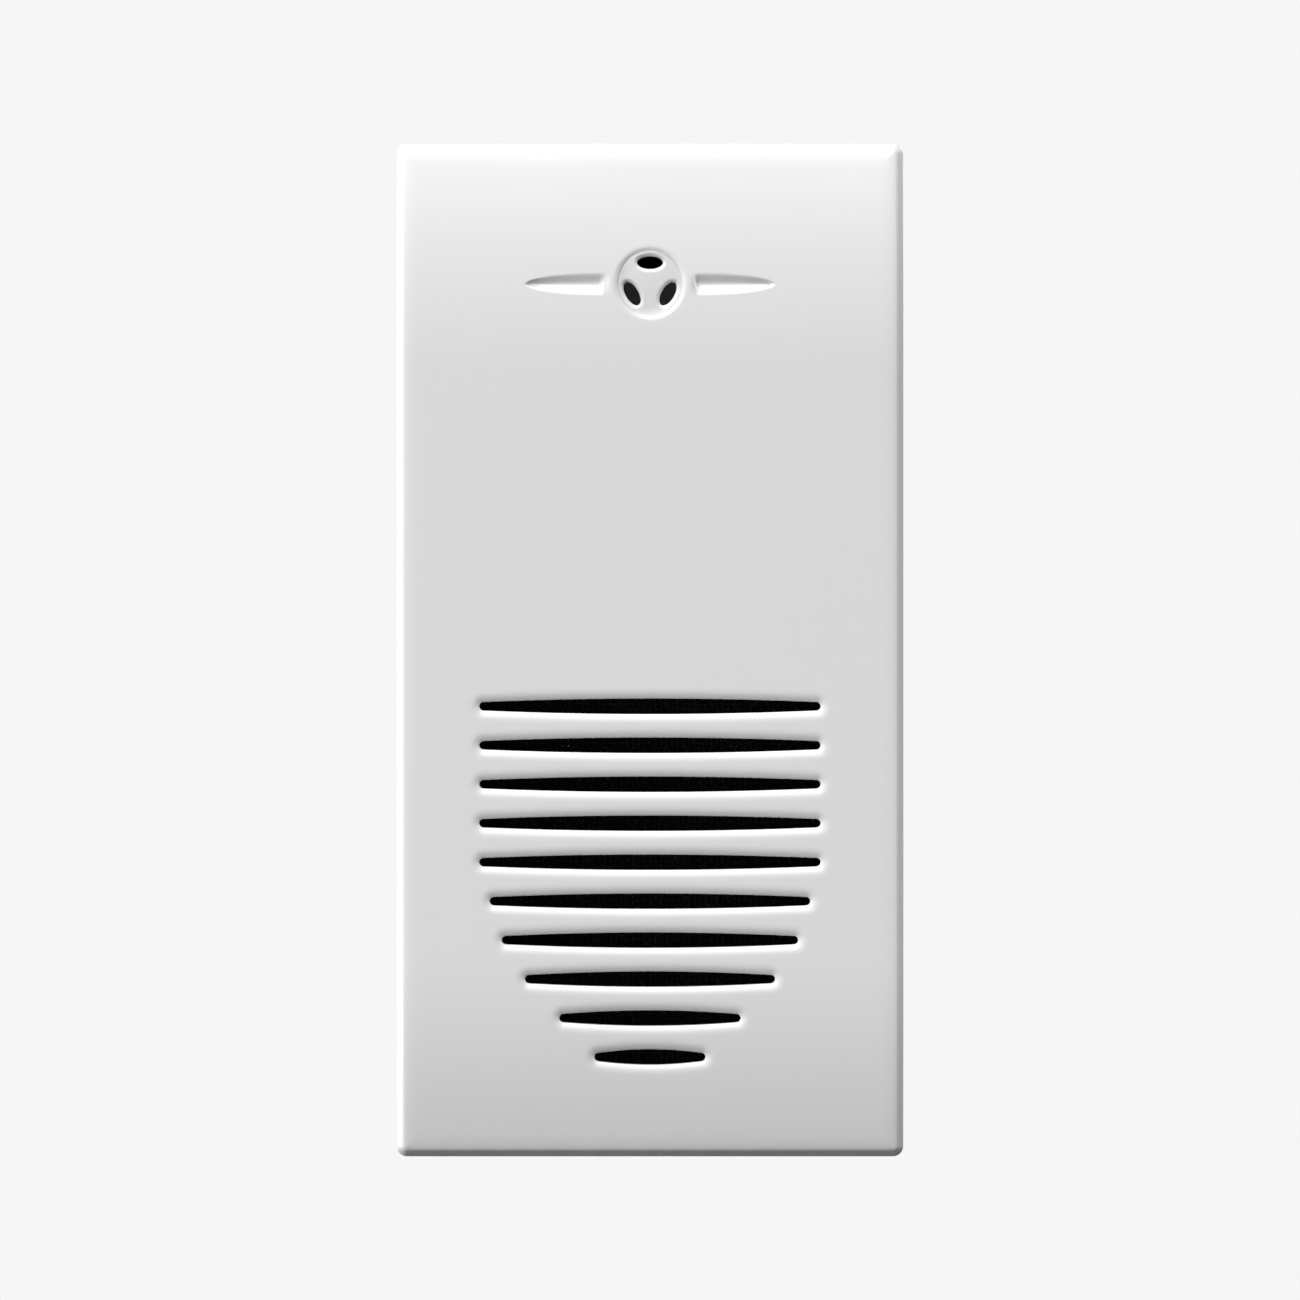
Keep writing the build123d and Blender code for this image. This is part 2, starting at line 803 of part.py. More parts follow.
def coil_leads():
    """Two short wires from the winding down to the contact tabs."""
    y = bar_front + contact_bar_thickness / 2
    limits = (tab_top(), lead_top())
    return [rod_z(lead_radius, limits, side * terminal_x, y) for side in (-1, 1)]


def lead_top():
    """Height where a wire meets the underside of the winding."""
    inner_side = terminal_x - lead_radius
    return coil_z - math.sqrt(winding_radius**2 - inner_side**2) - seat_gap


def armature():
    """Hinged iron plate with two knuckles round the pivot pin."""
    half = armature_half_width
    plate = span((-half, half), (armature_front, armature_back), (armature_bottom, pivot_z))
    plate += rod_x(knuckle_radius, (-half, half), pivot_y, pivot_z)
    clear_y = (pivot_y - knuckle_radius - overrun, pivot_y + knuckle_radius + overrun)
    spring_bottom = pivot_z - knuckle_radius - 3 * spring_wire
    plate -= span(
        (spring_start - slide_gap, spring_end + slide_gap),
        clear_y,
        (spring_bottom, pivot_z + knuckle_radius + overrun),
    )
    plate -= rod_x(pin_radius + running_gap, (-half - overrun, half + overrun), pivot_y, pivot_z)
    for z in rivet_heights():
        through = (armature_front - overrun, armature_back + overrun)
        plate -= rod_y(rivet_radius + running_gap, through, z=z)
    return plate


def rivet_heights():
    """The two rivets that hold the hammer arm to the armature."""
    middle = armature_bottom + arm_overlap / 2
    return (middle - rivet_pitch / 2, middle + rivet_pitch / 2)


def pivot_pin():
    """Steel pin through the yoke's ears, headed at one end, grooved at the other."""
    head_end = -ear_outside - seat_gap
    free_end = ear_outside + pin_end_length
    pin = rod_x(pin_radius, (head_end, free_end), pivot_y, pivot_z)
    pin += rod_x(pin_head_radius, (head_end - pin_head_length, head_end), pivot_y, pivot_z)
    groove = clip_ring_limits()
    ring = rod_x(pin_radius + overrun, groove, pivot_y, pivot_z)
    return pin - (ring - rod_x(pin_radius - pin_groove_depth, groove, pivot_y, pivot_z))


def clip_ring_limits():
    """X limits of the groove at the pin's free end."""
    start = ear_outside + seat_gap
    return start, start + pin_head_length


def pivot_clip():
    """Open spring ring in the pin's groove."""
    start, end = clip_ring_limits()
    limits = (start + seat_gap, end - seat_gap)
    ring = rod_x(pin_head_radius, limits, pivot_y, pivot_z)
    bore = pin_radius - pin_groove_depth + running_gap
    ring -= rod_x(bore, (start - overrun, end + overrun), pivot_y, pivot_z)
    mouth = pin_radius * pin_clip_mouth_share
    open_side = (pivot_y - pin_head_radius - overrun, pivot_y)
    return ring - span((start - overrun, end + overrun), open_side, (pivot_z - mouth, pivot_z + mouth))


def return_spring():
    """Torsion spring on the pivot pin, with a leg on the yoke and one below."""
    inner = pin_radius + slide_gap
    outer = inner + spring_wire
    limits = (spring_start, spring_end)
    coil = rod_x(outer, limits, pivot_y, pivot_z)
    coil -= rod_x(inner, (limits[0] - overrun, limits[1] + overrun), pivot_y, pivot_z)
    rear_leg = (limits[1] - spring_wire, limits[1])
    coil += span(rear_leg, (pivot_y, pivot_y + spring_leg_length), (pivot_z + inner, pivot_z + outer))
    return coil


def hammer_arm():
    """Spring steel strip from the armature down to the hammer."""
    rear = armature_front
    top = armature_bottom + arm_overlap
    bottom = hammer_z - hammer_stud_head_radius
    strip = span((-arm_half_width, arm_half_width), (rear - arm_thickness, rear), (bottom, top))
    strip = round_depth_edges(strip, arm_half_width / 2)
    through = (rear - arm_thickness - overrun, rear + overrun)
    strip -= rod_y(hammer_stud_radius + running_gap, through, z=hammer_z)
    for z in rivet_heights():
        strip -= rod_y(rivet_radius + running_gap, through, z=z)
    return strip


def hammer_head():
    """Turned brass hammer with a rounded tip, riveted through the arm."""
    front = armature_front
    head = rod_y(hammer_radius, (front, hammer_tip), z=hammer_z)
    head = fillet(head.edges().group_by(Axis.Y)[-1], hammer_tip_round)
    stud_front = front - arm_thickness - hammer_stud_head_thickness
    head += rod_y(hammer_stud_radius, (stud_front, front), z=hammer_z)
    return head + rod_y(hammer_stud_head_radius, (stud_front, front - arm_thickness), z=hammer_z)


def hammer_rivets():
    """Two rivets, each with a flat head in front of the arm."""
    rivets = []
    front = armature_front - arm_thickness
    for z in rivet_heights():
        rivet = rod_y(rivet_radius, (front, armature_back), z=z)
        rivets.append(rivet + rod_y(rivet_head_radius, (front - rivet_head_thickness, front), z=z))
    return rivets


def gong():
    """Pressed bell metal dish with its rim turned back."""
    outer = rod_y(gong_radius, (gong_front, gong_rim), z=gong_z)
    outer = fillet(outer.edges().group_by(Axis.Y)[0], gong_shoulder_radius)
    inner = rod_y(gong_radius - gong_wall, (gong_front + gong_wall, gong_rim + overrun), z=gong_z)
    inner = fillet(inner.edges().group_by(Axis.Y)[0], gong_shoulder_radius - gong_wall)
    dish = outer - inner
    return dish - rod_y(gong_hole_radius + running_gap, (gong_front - overrun, gong_rim), z=gong_z)


def gong_bush():
    """Rubber bush that lets the gong ring: a tube with a flange behind."""
    flange_front = gong_front + gong_wall
    bush = rod_y(gong_hole_radius, (gong_front, bush_rear), z=gong_z)
    bush += rod_y(bush_flange_radius, (flange_front, bush_rear), z=gong_z)
    through = (gong_front - overrun, bush_rear + overrun)
    return bush - rod_y(gong_screw_radius + running_gap, through, z=gong_z)


def gong_washer():
    """Flat washer between the gong screw and the gong."""
    washer = rod_y(washer_radius, (gong_front - washer_thickness, gong_front), z=gong_z)
    through = (gong_front - overrun, gong_front + overrun)
    return washer - rod_y(gong_screw_radius + running_gap, through, z=gong_z)


def slotted_screw(head_radius, head, shank_radius, shank, x, z, slot_side):
    """Cheese-head screw along Y; the slot is cut at the head's outer end."""
    screw = rod_y(head_radius, head, x, z) + rod_y(shank_radius, shank, x, z)
    edge = head[0] if slot_side < 0 else head[1]
    depth = sorted((edge - slot_side * screw_slot_depth, edge + slot_side * overrun))
    half = screw_slot_width / 2
    reach = head_radius + overrun
    return screw - span((x - half, x + half), depth, (z - reach, z + reach))


def gong_screw():
    """Screw that holds the gong on its post."""
    seat = gong_front - washer_thickness
    head = (seat - gong_screw_head_length, seat)
    shank = (seat, bush_rear + gong_screw_grip)
    return slotted_screw(gong_screw_head_radius, head, gong_screw_radius, shank, 0, gong_z, -1)


def gong_post():
    """Brass post on the terminal block, tapped for the gong screw."""
    post = rod_y(post_radius, (bush_rear, block_front), z=gong_z)
    post += rod_y(post_spigot_radius, (block_front, block_front + post_spigot_length), z=gong_z)
    depth = (bush_rear - overrun, bush_rear + gong_screw_grip + seat_gap)
    return post - rod_y(gong_screw_radius + running_gap, depth, z=gong_z)


def terminal_block():
    """Moulded block in the lower rear corner with two clamp pockets."""
    block = span((-block_half_x, block_half_x), (block_front, block_rear), (block_bottom, block_top))
    block += span(
        (-plinth_half_x, plinth_half_x),
        (block_front + plinth_margin, rear_depth),
        (-box_half_z, block_top - plinth_margin),
    )
    for side in (-1, 1):
        block -= terminal_pocket(side * terminal_x)
    spigot = (block_front - overrun, block_front + post_spigot_length + seat_gap)
    return block - rod_y(post_spigot_radius + running_gap, spigot, z=gong_z)


def terminal_pocket(x):
    """All that is cut for one terminal: cage pocket, well, wire bore, bar slot."""
    half = cage_width / 2 + slide_gap
    rise = cage_height / 2 + slide_gap
    up = (terminal_z - rise, terminal_z + rise)
    cage = span((x - half, x + half), (pocket_front, terminal_head_seat), up)
    well_radius = terminal_screw_head_radius + terminal_well_gap
    well = rod_y(well_radius, (terminal_head_seat, rear_depth + overrun), x, terminal_z)
    wire = rod_z(wire_radius, (-box_half_z - overrun, up[1] + wire_stop), x, wire_y)
    mouth = Cone(
        wire_radius + wire_funnel_spread,
        wire_radius,
        wire_funnel_depth,
        align=(Align.CENTER, Align.CENTER, Align.MIN),
    )
    mouth = Pos(x, wire_y, -box_half_z) * mouth
    bar_half = bar_half_width() + seat_gap
    bar_y = (bar_front - seat_gap, bar_rear + seat_gap)
    bar_low = terminal_z - contact_bar_reach - seat_gap
    bar = span((x - bar_half, x + bar_half), bar_y, (bar_low, block_top + overrun))
    return [cage, well, wire, mouth, bar]


def bar_half_width():
    """Half the width of a contact bar, which passes through its cage."""
    return cage_width / 2 - cage_wall - slide_gap


def tab_top():
    """Top of the narrow tab that the coil's wire is soldered to."""
    return lead_top() - lead_length


def contact_bar(x):
    """Brass bar that the wire is clamped against, with a solder tab above."""
    half = bar_half_width()
    limits = (bar_front, bar_rear)
    low = terminal_z - contact_bar_reach
    bar = span((x - half, x + half), limits, (low, block_top + lead_radius))
    tab_half = contact_tab_half_width
    return bar + span((x - tab_half, x + tab_half), limits, (block_top, tab_top()))


def terminal_screw(x):
    """Captive clamp screw, driven from the back."""
    head = (terminal_head_seat, terminal_head_rear)
    shank = (bar_rear + seat_gap, terminal_head_seat)
    radius = terminal_screw_radius
    return slotted_screw(terminal_screw_head_radius, head, radius, shank, x, terminal_z, 1)


def clamp_cage(x):
    """Steel cage that the screw draws back to clamp the wire on the bar."""
    half = cage_width / 2
    rise = cage_height / 2
    y = (cage_front, cage_nut_rear)
    z = (terminal_z - rise, terminal_z + rise)
    cage = span((x - half, x + half), y, z)
    hole_x = (x - half + cage_wall, x + half - cage_wall)
    hole_y = (cage_front + cage_wall, cage_nut_rear - cage_nut_thickness)
    cage -= span(hole_x, hole_y, (z[0] - overrun, z[1] + overrun))
    thread = (cage_nut_rear - cage_nut_thickness - cage_wall / 2, cage_nut_rear + overrun)
    return cage - rod_y(terminal_screw_radius + running_gap, thread, x, terminal_z)


def yoke_screws():
    """The two screws that hold the yoke, put in from the back."""
    screws = []
    head_rear = rear_depth - yoke_screw_recess
    seat = head_rear - yoke_screw_head_length
    for x, z in yoke_screw_places():
        shank = (bobbin_rear + seat_gap, seat)
        head = (seat, head_rear)
        radius = yoke_screw_radius
        screws.append(slotted_screw(yoke_screw_head_radius, head, radius, shank, x, z, 1))
    return screws


def retaining_clip(end):
    """Spring steel claw: a tab in the housing's slot and a rising leaf."""
    root_low = box_half_z + clip_root_lift
    tip_low = box_half_z + clip_tip_height
    points = [
        (clip_root + clip_thickness, box_half_z - clip_tab_depth),
        (clip_root + clip_thickness, root_low + clip_thickness),
        (clip_root, root_low + clip_thickness),
        (clip_tip, tip_low + clip_thickness),
        (clip_tip, tip_low),
        (clip_root, root_low),
        (clip_root, box_half_z - clip_tab_depth),
    ]
    return along_x([(y, end * z) for y, z in points], clip_width / 2)


def write(name, shape):
    """Writes one named piece, or a group of like pieces, to its own file."""
    group = list(shape) if isinstance(shape, list) else [shape]
    solids = [solid for item in group for solid in item.solids()]
    piece = solids[0] if len(solids) == 1 else Compound(children=solids)
    export_step(piece, f"parts/{name}.step")


write("front_cover", front_cover())
write("dust_screen", dust_screen())
write("volume_dial", volume_dial())
write("adjuster_spindle", adjuster_spindle())
write("dial_retainer", dial_retainer())
write("rear_housing", rear_housing())
write("yoke", yoke())
write("core_pole", core_pole())
write("residual_shim", residual_shim())
write("coil_bobbin", coil_bobbin())
write("coil_winding", coil_winding())
write("coil_tape", coil_tape())
write("coil_leads", coil_leads())
write("yoke_screws", yoke_screws())
write("armature", armature())
write("pivot_pin", pivot_pin())
write("pivot_clip", pivot_clip())
write("return_spring", return_spring())
write("hammer_arm", hammer_arm())
write("hammer_head", hammer_head())
write("hammer_rivets", hammer_rivets())
write("gong", gong())
write("gong_bush", gong_bush())
write("gong_washer", gong_washer())
write("gong_screw", gong_screw())
write("gong_post", gong_post())
write("terminal_block", terminal_block())
for name, side in (("left", -1), ("right", 1)):
    write(f"contact_bar_{name}", contact_bar(side * terminal_x))
    write(f"terminal_screw_{name}", terminal_screw(side * terminal_x))
    write(f"clamp_cage_{name}", clamp_cage(side * terminal_x))
write("retaining_clip_top", retaining_clip(1))
write("retaining_clip_bottom", retaining_clip(-1))
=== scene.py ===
import json
import math

import bmesh
import bpy
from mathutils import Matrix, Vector
from mathutils.geometry import delaunay_2d_cdt


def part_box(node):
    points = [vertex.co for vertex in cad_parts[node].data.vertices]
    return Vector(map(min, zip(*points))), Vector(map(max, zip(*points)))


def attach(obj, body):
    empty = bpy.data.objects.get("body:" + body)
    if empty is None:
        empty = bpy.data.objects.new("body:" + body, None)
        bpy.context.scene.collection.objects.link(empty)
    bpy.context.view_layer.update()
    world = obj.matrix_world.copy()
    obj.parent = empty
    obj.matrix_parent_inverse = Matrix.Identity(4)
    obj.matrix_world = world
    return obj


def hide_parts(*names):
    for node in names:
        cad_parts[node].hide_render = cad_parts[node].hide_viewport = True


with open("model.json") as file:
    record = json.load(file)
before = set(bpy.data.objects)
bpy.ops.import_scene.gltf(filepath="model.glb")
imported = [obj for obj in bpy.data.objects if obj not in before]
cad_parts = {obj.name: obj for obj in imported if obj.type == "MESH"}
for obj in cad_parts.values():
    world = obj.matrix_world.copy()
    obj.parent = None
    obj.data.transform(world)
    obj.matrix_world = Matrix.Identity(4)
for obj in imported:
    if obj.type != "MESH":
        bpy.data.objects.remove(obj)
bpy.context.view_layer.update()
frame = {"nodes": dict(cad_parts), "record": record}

# Rear housing
# A light grey moulded box with a flange and a neck for the cover. Its surface is
# the fine matt texture of the mould, and its edges are slightly broken.
mm = 0.001
weld = 0.0005 * mm
flat_angle = math.radians(0.6)
sharp_angle = math.radians(35)
record = frame["record"]
body_of = {node: body for body, nodes in record["behaviour"]["bodies"].items() for node in nodes}


def fit(mesh, node, material):
    """Puts a finished mesh in the place of the frame node that it stands for."""
    mesh.name = node + "_piece"
    mesh.materials.clear()
    mesh.materials.append(material)
    piece = bpy.data.objects.new(mesh.name, mesh)
    bpy.context.scene.collection.objects.link(piece)
    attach(piece, body_of[node])
    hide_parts(node)


def with_modifiers(mesh, prepare):
    """Runs modifiers on a mesh, and returns the result as a plain mesh."""
    holder = bpy.data.objects.new("holder", mesh)
    bpy.context.scene.collection.objects.link(holder)
    prepare(holder)
    depsgraph = bpy.context.evaluated_depsgraph_get()
    result = bpy.data.meshes.new_from_object(holder.evaluated_get(depsgraph), depsgraph=depsgraph)
    bpy.data.objects.remove(holder)
    return result


def smooth(mesh):
    """Shades a mesh smooth."""
    mesh.polygons.foreach_set("use_smooth", [True] * len(mesh.polygons))


def broken_edges(mesh, width):
    """Rounds a mesh's sharp edges by a small width."""
    smooth(mesh)

    def prepare(holder):
        bevel = holder.modifiers.new("bevel", "BEVEL")
        bevel.width = width
        bevel.segments = 2
        bevel.limit_method = "ANGLE"
        bevel.angle_limit = sharp_angle
        bevel.harden_normals = True

    return with_modifiers(mesh, prepare)


def merged(node):
    """A copy of a frame node with its loose triangles joined into whole faces."""
    work = bmesh.new()
    work.from_mesh(frame["nodes"][node].data)
    bmesh.ops.remove_doubles(work, verts=work.verts, dist=weld)
    bmesh.ops.dissolve_limit(work, angle_limit=flat_angle, verts=work.verts, edges=work.edges)
    work.verts.index_update()
    points = [vertex.co.copy() for vertex in work.verts]
    faces = [[vertex.index for vertex in face.verts] for face in work.faces]
    work.free()
    mesh = bpy.data.meshes.new(node)
    mesh.from_pydata(points, [], faces)
    return mesh


def softened(node, material, edge):
    """Replaces a frame node by its own shape with broken edges of a small width."""
    fit(broken_edges(merged(node), edge), node, material)


def shader_group(name, *inputs):
    """Starts a shader group with named inputs, that puts out a height and a shade."""
    group = bpy.data.node_groups.new(name, "ShaderNodeTree")
    for label, kind, value in inputs:
        group.interface.new_socket(label, in_out="INPUT", socket_type=kind).default_value = value
    for label in ("Height", "Shade"):
        group.interface.new_socket(label, in_out="OUTPUT", socket_type="NodeSocketFloat")
    return group, group.nodes.new("NodeGroupInput"), group.nodes.new("NodeGroupOutput")


def feed(tree, socket, value):
    """Sets a socket to a value, or links it to the socket that drives it."""
    if isinstance(value, bpy.types.NodeSocket):
        tree.links.new(value, socket)
    else:
        socket.default_value = value


def step(tree, kind, **wiring):
    """Adds a node, with each named socket set to a value or fed by a socket."""
    node = tree.nodes.new(kind)
    for label, value in wiring.items():
        feed(tree, node.inputs[label.replace("_", " ")], value)
    return node


def calculate(tree, operation, *values):
    """Adds one sum to a tree."""
    node = tree.nodes.new("ShaderNodeMath")
    node.operation = operation
    for socket, value in zip(node.inputs, values):
        feed(tree, socket, value)
    return node.outputs["Value"]


def noise(group, coordinates, size, detail):
    """Noise with spots of a size."""
    scale = calculate(group, "DIVIDE", 1, size)
    texture = step(group, "ShaderNodeTexNoise", Vector=coordinates, Scale=scale, Detail=detail)
    return texture.outputs["Fac"]


def mixed(tree, mask, first, second):
    """Mixes two colours by a mask."""
    mix = tree.nodes.new("ShaderNodeMix")
    mix.data_type = "RGBA"
    for label, value in (("Factor", mask), ("A", first), ("B", second)):
        feed(tree, mix.inputs[label], value)
    return mix.outputs["Result"]


mould_texture, start, end = shader_group(
    "mould_texture", ("Grain", "NodeSocketFloat", 0.1 * mm), ("Cloud", "NodeSocketFloat", 6 * mm)
)
place = step(mould_texture, "ShaderNodeTexCoord").outputs["Object"]
feed(mould_texture, end.inputs["Height"], noise(mould_texture, place, start.outputs["Grain"], detail=3))
feed(mould_texture, end.inputs["Shade"], noise(mould_texture, place, start.outputs["Cloud"], detail=2))

# Nearly all of a noise lies between these two values.
noise_low, noise_high = 0.3, 0.7


def textured(name, group, sizes, light, dark, roughness, spread, depth, **finish):
    """A material whose colour, roughness and relief follow one of the texture groups."""
    material = bpy.data.materials.new(name)
    material.use_nodes = True
    tree = material.node_tree
    effect = tree.nodes.new("ShaderNodeGroup")
    effect.node_tree = group
    for label, value in sizes.items():
        effect.inputs[label].default_value = value
    shade = effect.outputs["Shade"]
    finish["Base Color"] = mixed(tree, shade, (*light, 1), (*dark, 1))
    finish["Roughness"] = step(
        tree, "ShaderNodeMapRange", Value=shade, From_Min=noise_low, From_Max=noise_high,
        To_Min=roughness, To_Max=roughness + spread
    ).outputs["Result"]
    if depth:
        bump = step(tree, "ShaderNodeBump", Distance=depth, Height=effect.outputs["Height"])
        finish["Normal"] = bump.outputs["Normal"]
    for label, value in finish.items():
        feed(tree, tree.nodes["Principled BSDF"].inputs[label.replace("_", " ")], value)
    return material


def plastic(name, light, dark, roughness, grain, depth=0, spread=0.06, cloud=6 * mm, **finish):
    """Plastic, rubber or film: slight clouds in its colour, and fine pits if given a depth."""
    sizes = {"Grain": grain, "Cloud": cloud}
    return textured(name, mould_texture, sizes, light, dark, roughness, spread, depth, **finish)


housing_grey = plastic(
    "housing_grey", light=(0.60, 0.61, 0.61), dark=(0.55, 0.56, 0.565), roughness=0.5,
    grain=0.09 * mm, depth=0.004 * mm
)
softened("rear_housing", housing_grey, edge=0.1 * mm)

# Terminal block
# A dark grey moulded block that fills the lower rear corner of the box. It holds
# the two clamps, and is snapped in behind two ribs on each side wall.
block_grey = plastic(
    "block_grey", light=(0.135, 0.14, 0.145), dark=(0.11, 0.114, 0.12), roughness=0.55,
    grain=0.08 * mm, depth=0.005 * mm
)
softened("terminal_block", block_grey, edge=0.08 * mm)

# Contact bars
# Stamped brass strips, one for each terminal. The bell wire is clamped against
# the wide part, and the coil's wire is soldered to the narrow tab above.
worked_metal, start, end = shader_group(
    "worked_metal", ("Stretch", "NodeSocketVector", (1, 1, 1)), ("Line", "NodeSocketFloat", 0.06 * mm)
)
stretch = worked_metal.nodes.new("ShaderNodeVectorMath")
stretch.operation = "MULTIPLY"
feed(worked_metal, stretch.inputs[0], step(worked_metal, "ShaderNodeTexCoord").outputs["Object"])
feed(worked_metal, stretch.inputs[1], start.outputs["Stretch"])
lines = noise(worked_metal, stretch.outputs["Vector"], start.outputs["Line"], detail=2)
for label in ("Height", "Shade"):
    feed(worked_metal, end.inputs[label], lines)


def metal(name, light, dark, roughness, stretch, depth=0.0015 * mm, metallic=1, **finish):
    """Metal with fine lines along the axis that is stretched least, as rolling leaves them."""
    return textured(name, worked_metal, {"Stretch": stretch}, light, dark, roughness, spread=0.12,
                    depth=depth, Metallic=metallic, **finish)


rolled_brass = metal(
    "rolled_brass", light=(0.80, 0.60, 0.27), dark=(0.70, 0.50, 0.20), roughness=0.28,
    stretch=(1, 1, 0.1)
)
for side in ("left", "right"):
    softened(f"contact_bar_{side}", rolled_brass, edge=0.06 * mm)

# Clamp cages and their screws
# Plated steel cages that rise on their screws and press the wire on the bar. The
# cages are pressed from strip, and the cheese heads have one straight slot.
plated_steel = metal(
    "plated_steel", light=(0.70, 0.70, 0.72), dark=(0.60, 0.60, 0.63), roughness=0.26,
    stretch=(1, 1, 0.25)
)
for side in ("left", "right"):
    softened(f"clamp_cage_{side}", plated_steel, edge=0.08 * mm)


def size_tree(name, takes_geometry=False, **labels_of_kind):
    """Starts a geometry tree with named sizes as its inputs, listed by their kind."""
    tree = bpy.data.node_groups.new(name, "GeometryNodeTree")
    if takes_geometry:
        tree.interface.new_socket("Geometry", in_out="INPUT", socket_type="NodeSocketGeometry")
    for kind, labels in labels_of_kind.items():
        for label in labels:
            tree.interface.new_socket(label, in_out="INPUT", socket_type="NodeSocket" + kind)
    tree.interface.new_socket("Geometry", in_out="OUTPUT", socket_type="NodeSocketGeometry")
    return tree, tree.nodes.new("NodeGroupInput").outputs


def vector(tree, **parts):
    """A vector of the parts that are given."""
    return step(tree, "ShaderNodeCombineXYZ", **parts).outputs["Vector"]


def lifted(tree, mesh, height):
    """Moves a mesh along the tree's own Z axis."""
    moved = step(tree, "GeometryNodeTransform", Geometry=mesh.outputs["Mesh"],
                 Translation=vector(tree, Z=height))
    return moved.outputs["Geometry"]


def join(tree, *parts):
    """Joins geometries into one."""
    node = tree.nodes.new("GeometryNodeJoinGeometry")
    for part in reversed(parts):
        tree.links.new(part, node.inputs["Geometry"])
    return node.outputs["Geometry"]


def end_tree(tree, geometry, material):
    """Ends a tree: the copies are made real, and the material is set."""
    real = step(tree, "GeometryNodeRealizeInstances", Geometry=geometry).outputs["Geometry"]
    painted = step(tree, "GeometryNodeSetMaterial", Geometry=real, Material=material)
    step(tree, "NodeGroupOutput", Geometry=painted.outputs["Geometry"])


def grown(tree, sizes, places=()):
    """Runs a geometry tree at its sizes, on points if it needs any."""
    seed = bpy.data.meshes.new("places")
    seed.from_pydata([Vector(place) for place in places], [], [])

    def prepare(holder):
        run = holder.modifiers.new("run", "NODES")
        run.node_group = tree
        for item in tree.interface.items_tree:
            if item.in_out == "INPUT" and item.name in sizes:
                run[item.identifier] = sizes[item.name]

    mesh = with_modifiers(seed, prepare)
    smooth(mesh)
    return mesh


# Each screw is made along its own Z axis, from the seat under its head.
screws, given = size_tree(
    "slotted_screws", takes_geometry=True, Vector=("Turn",), Float=(
        "Head Radius", "Head Length", "Shank Radius", "Shank Length", "Slot Width", "Slot Depth", "Pitch"
    )
)
head_sides, shank_sides, thread_sides, thread_steps = 40, 32, 4, 24
thread_root_share = 0.86
head = step(screws, "GeometryNodeMeshCylinder", Vertices=head_sides, Radius=given["Head Radius"],
            Depth=given["Head Length"])
head = lifted(screws, head, calculate(screws, "DIVIDE", given["Head Length"], 2))
cutter_size = vector(screws, X=given["Slot Width"],
                     Y=calculate(screws, "MULTIPLY", given["Head Radius"], 3),
                     Z=calculate(screws, "MULTIPLY", given["Slot Depth"], 2))
cutter = step(screws, "GeometryNodeMeshCube", Size=cutter_size)
slotted = screws.nodes.new("GeometryNodeMeshBoolean")
slotted.operation = "DIFFERENCE"
screws.links.new(head, slotted.inputs["Mesh 1"])
screws.links.new(lifted(screws, cutter, given["Head Length"]), slotted.inputs["Mesh 2"])
thread_root = calculate(screws, "MULTIPLY", given["Shank Radius"], thread_root_share)
shank = step(screws, "GeometryNodeMeshCylinder", Vertices=shank_sides, Radius=thread_root,
             Depth=given["Shank Length"])
below = calculate(screws, "MULTIPLY", given["Shank Length"], -1)
shank = lifted(screws, shank, calculate(screws, "DIVIDE", below, 2))
tooth = calculate(screws, "SUBTRACT", given["Shank Radius"], thread_root)
both_ends = calculate(screws, "MULTIPLY", tooth, 3)
thread_length = calculate(screws, "SUBTRACT", given["Shank Length"], both_ends)
thread_line = step(screws, "GeometryNodeCurveSpiral", Resolution=thread_steps,
                   Rotations=calculate(screws, "DIVIDE", thread_length, given["Pitch"]),
                   Start_Radius=thread_root, End_Radius=thread_root, Height=thread_length)
thread_form = step(screws, "GeometryNodeCurvePrimitiveCircle", Resolution=thread_sides, Radius=tooth)
thread = step(screws, "GeometryNodeCurveToMesh", Curve=thread_line.outputs["Curve"],
              Profile_Curve=thread_form.outputs["Curve"], Fill_Caps=True)
thread_end = calculate(screws, "ADD", below, calculate(screws, "DIVIDE", both_ends, 2))
thread = lifted(screws, thread, thread_end)
whole = join(screws, slotted.outputs["Mesh"], shank, thread)
turned_over = step(screws, "GeometryNodeTransform", Geometry=whole, Rotation=given["Turn"])
copies = step(screws, "GeometryNodeInstanceOnPoints", Points=given["Geometry"],
              Instance=turned_over.outputs["Geometry"])
end_tree(screws, copies.outputs["Instances"], plated_steel)

head_back = (-math.pi / 2, 0, 0)
head_front = (math.pi / 2, 0, 0)


def screwed_in(node, places, turn, head_radius, head_length, shank_radius, shank_length, pitch):
    """Slotted screws of one size in the place of a frame node."""
    mesh = grown(screws, {
        "Head Radius": head_radius, "Head Length": head_length, "Shank Radius": shank_radius,
        "Shank Length": shank_length, "Slot Width": 0.45 * mm, "Slot Depth": 0.6 * mm,
        "Pitch": pitch, "Turn": turn,
    }, places)
    screw_edge = 0.07 * mm
    fit(broken_edges(mesh, screw_edge), node, plated_steel)


def middle_of(node):
    """The middle of a frame node's box."""
    low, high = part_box(node)
    return (low + high) / 2


terminal_head_length = 1.6 * mm
for side in ("left", "right"):
    node = f"terminal_screw_{side}"
    low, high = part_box(node)
    seat = high.y - terminal_head_length
    screwed_in(node, [(middle_of(node).x, seat, middle_of(node).z)], head_back,
               head_radius=(high.x - low.x) / 2, head_length=terminal_head_length,
               shank_radius=1.25 * mm, shank_length=seat - low.y, pitch=0.5 * mm)

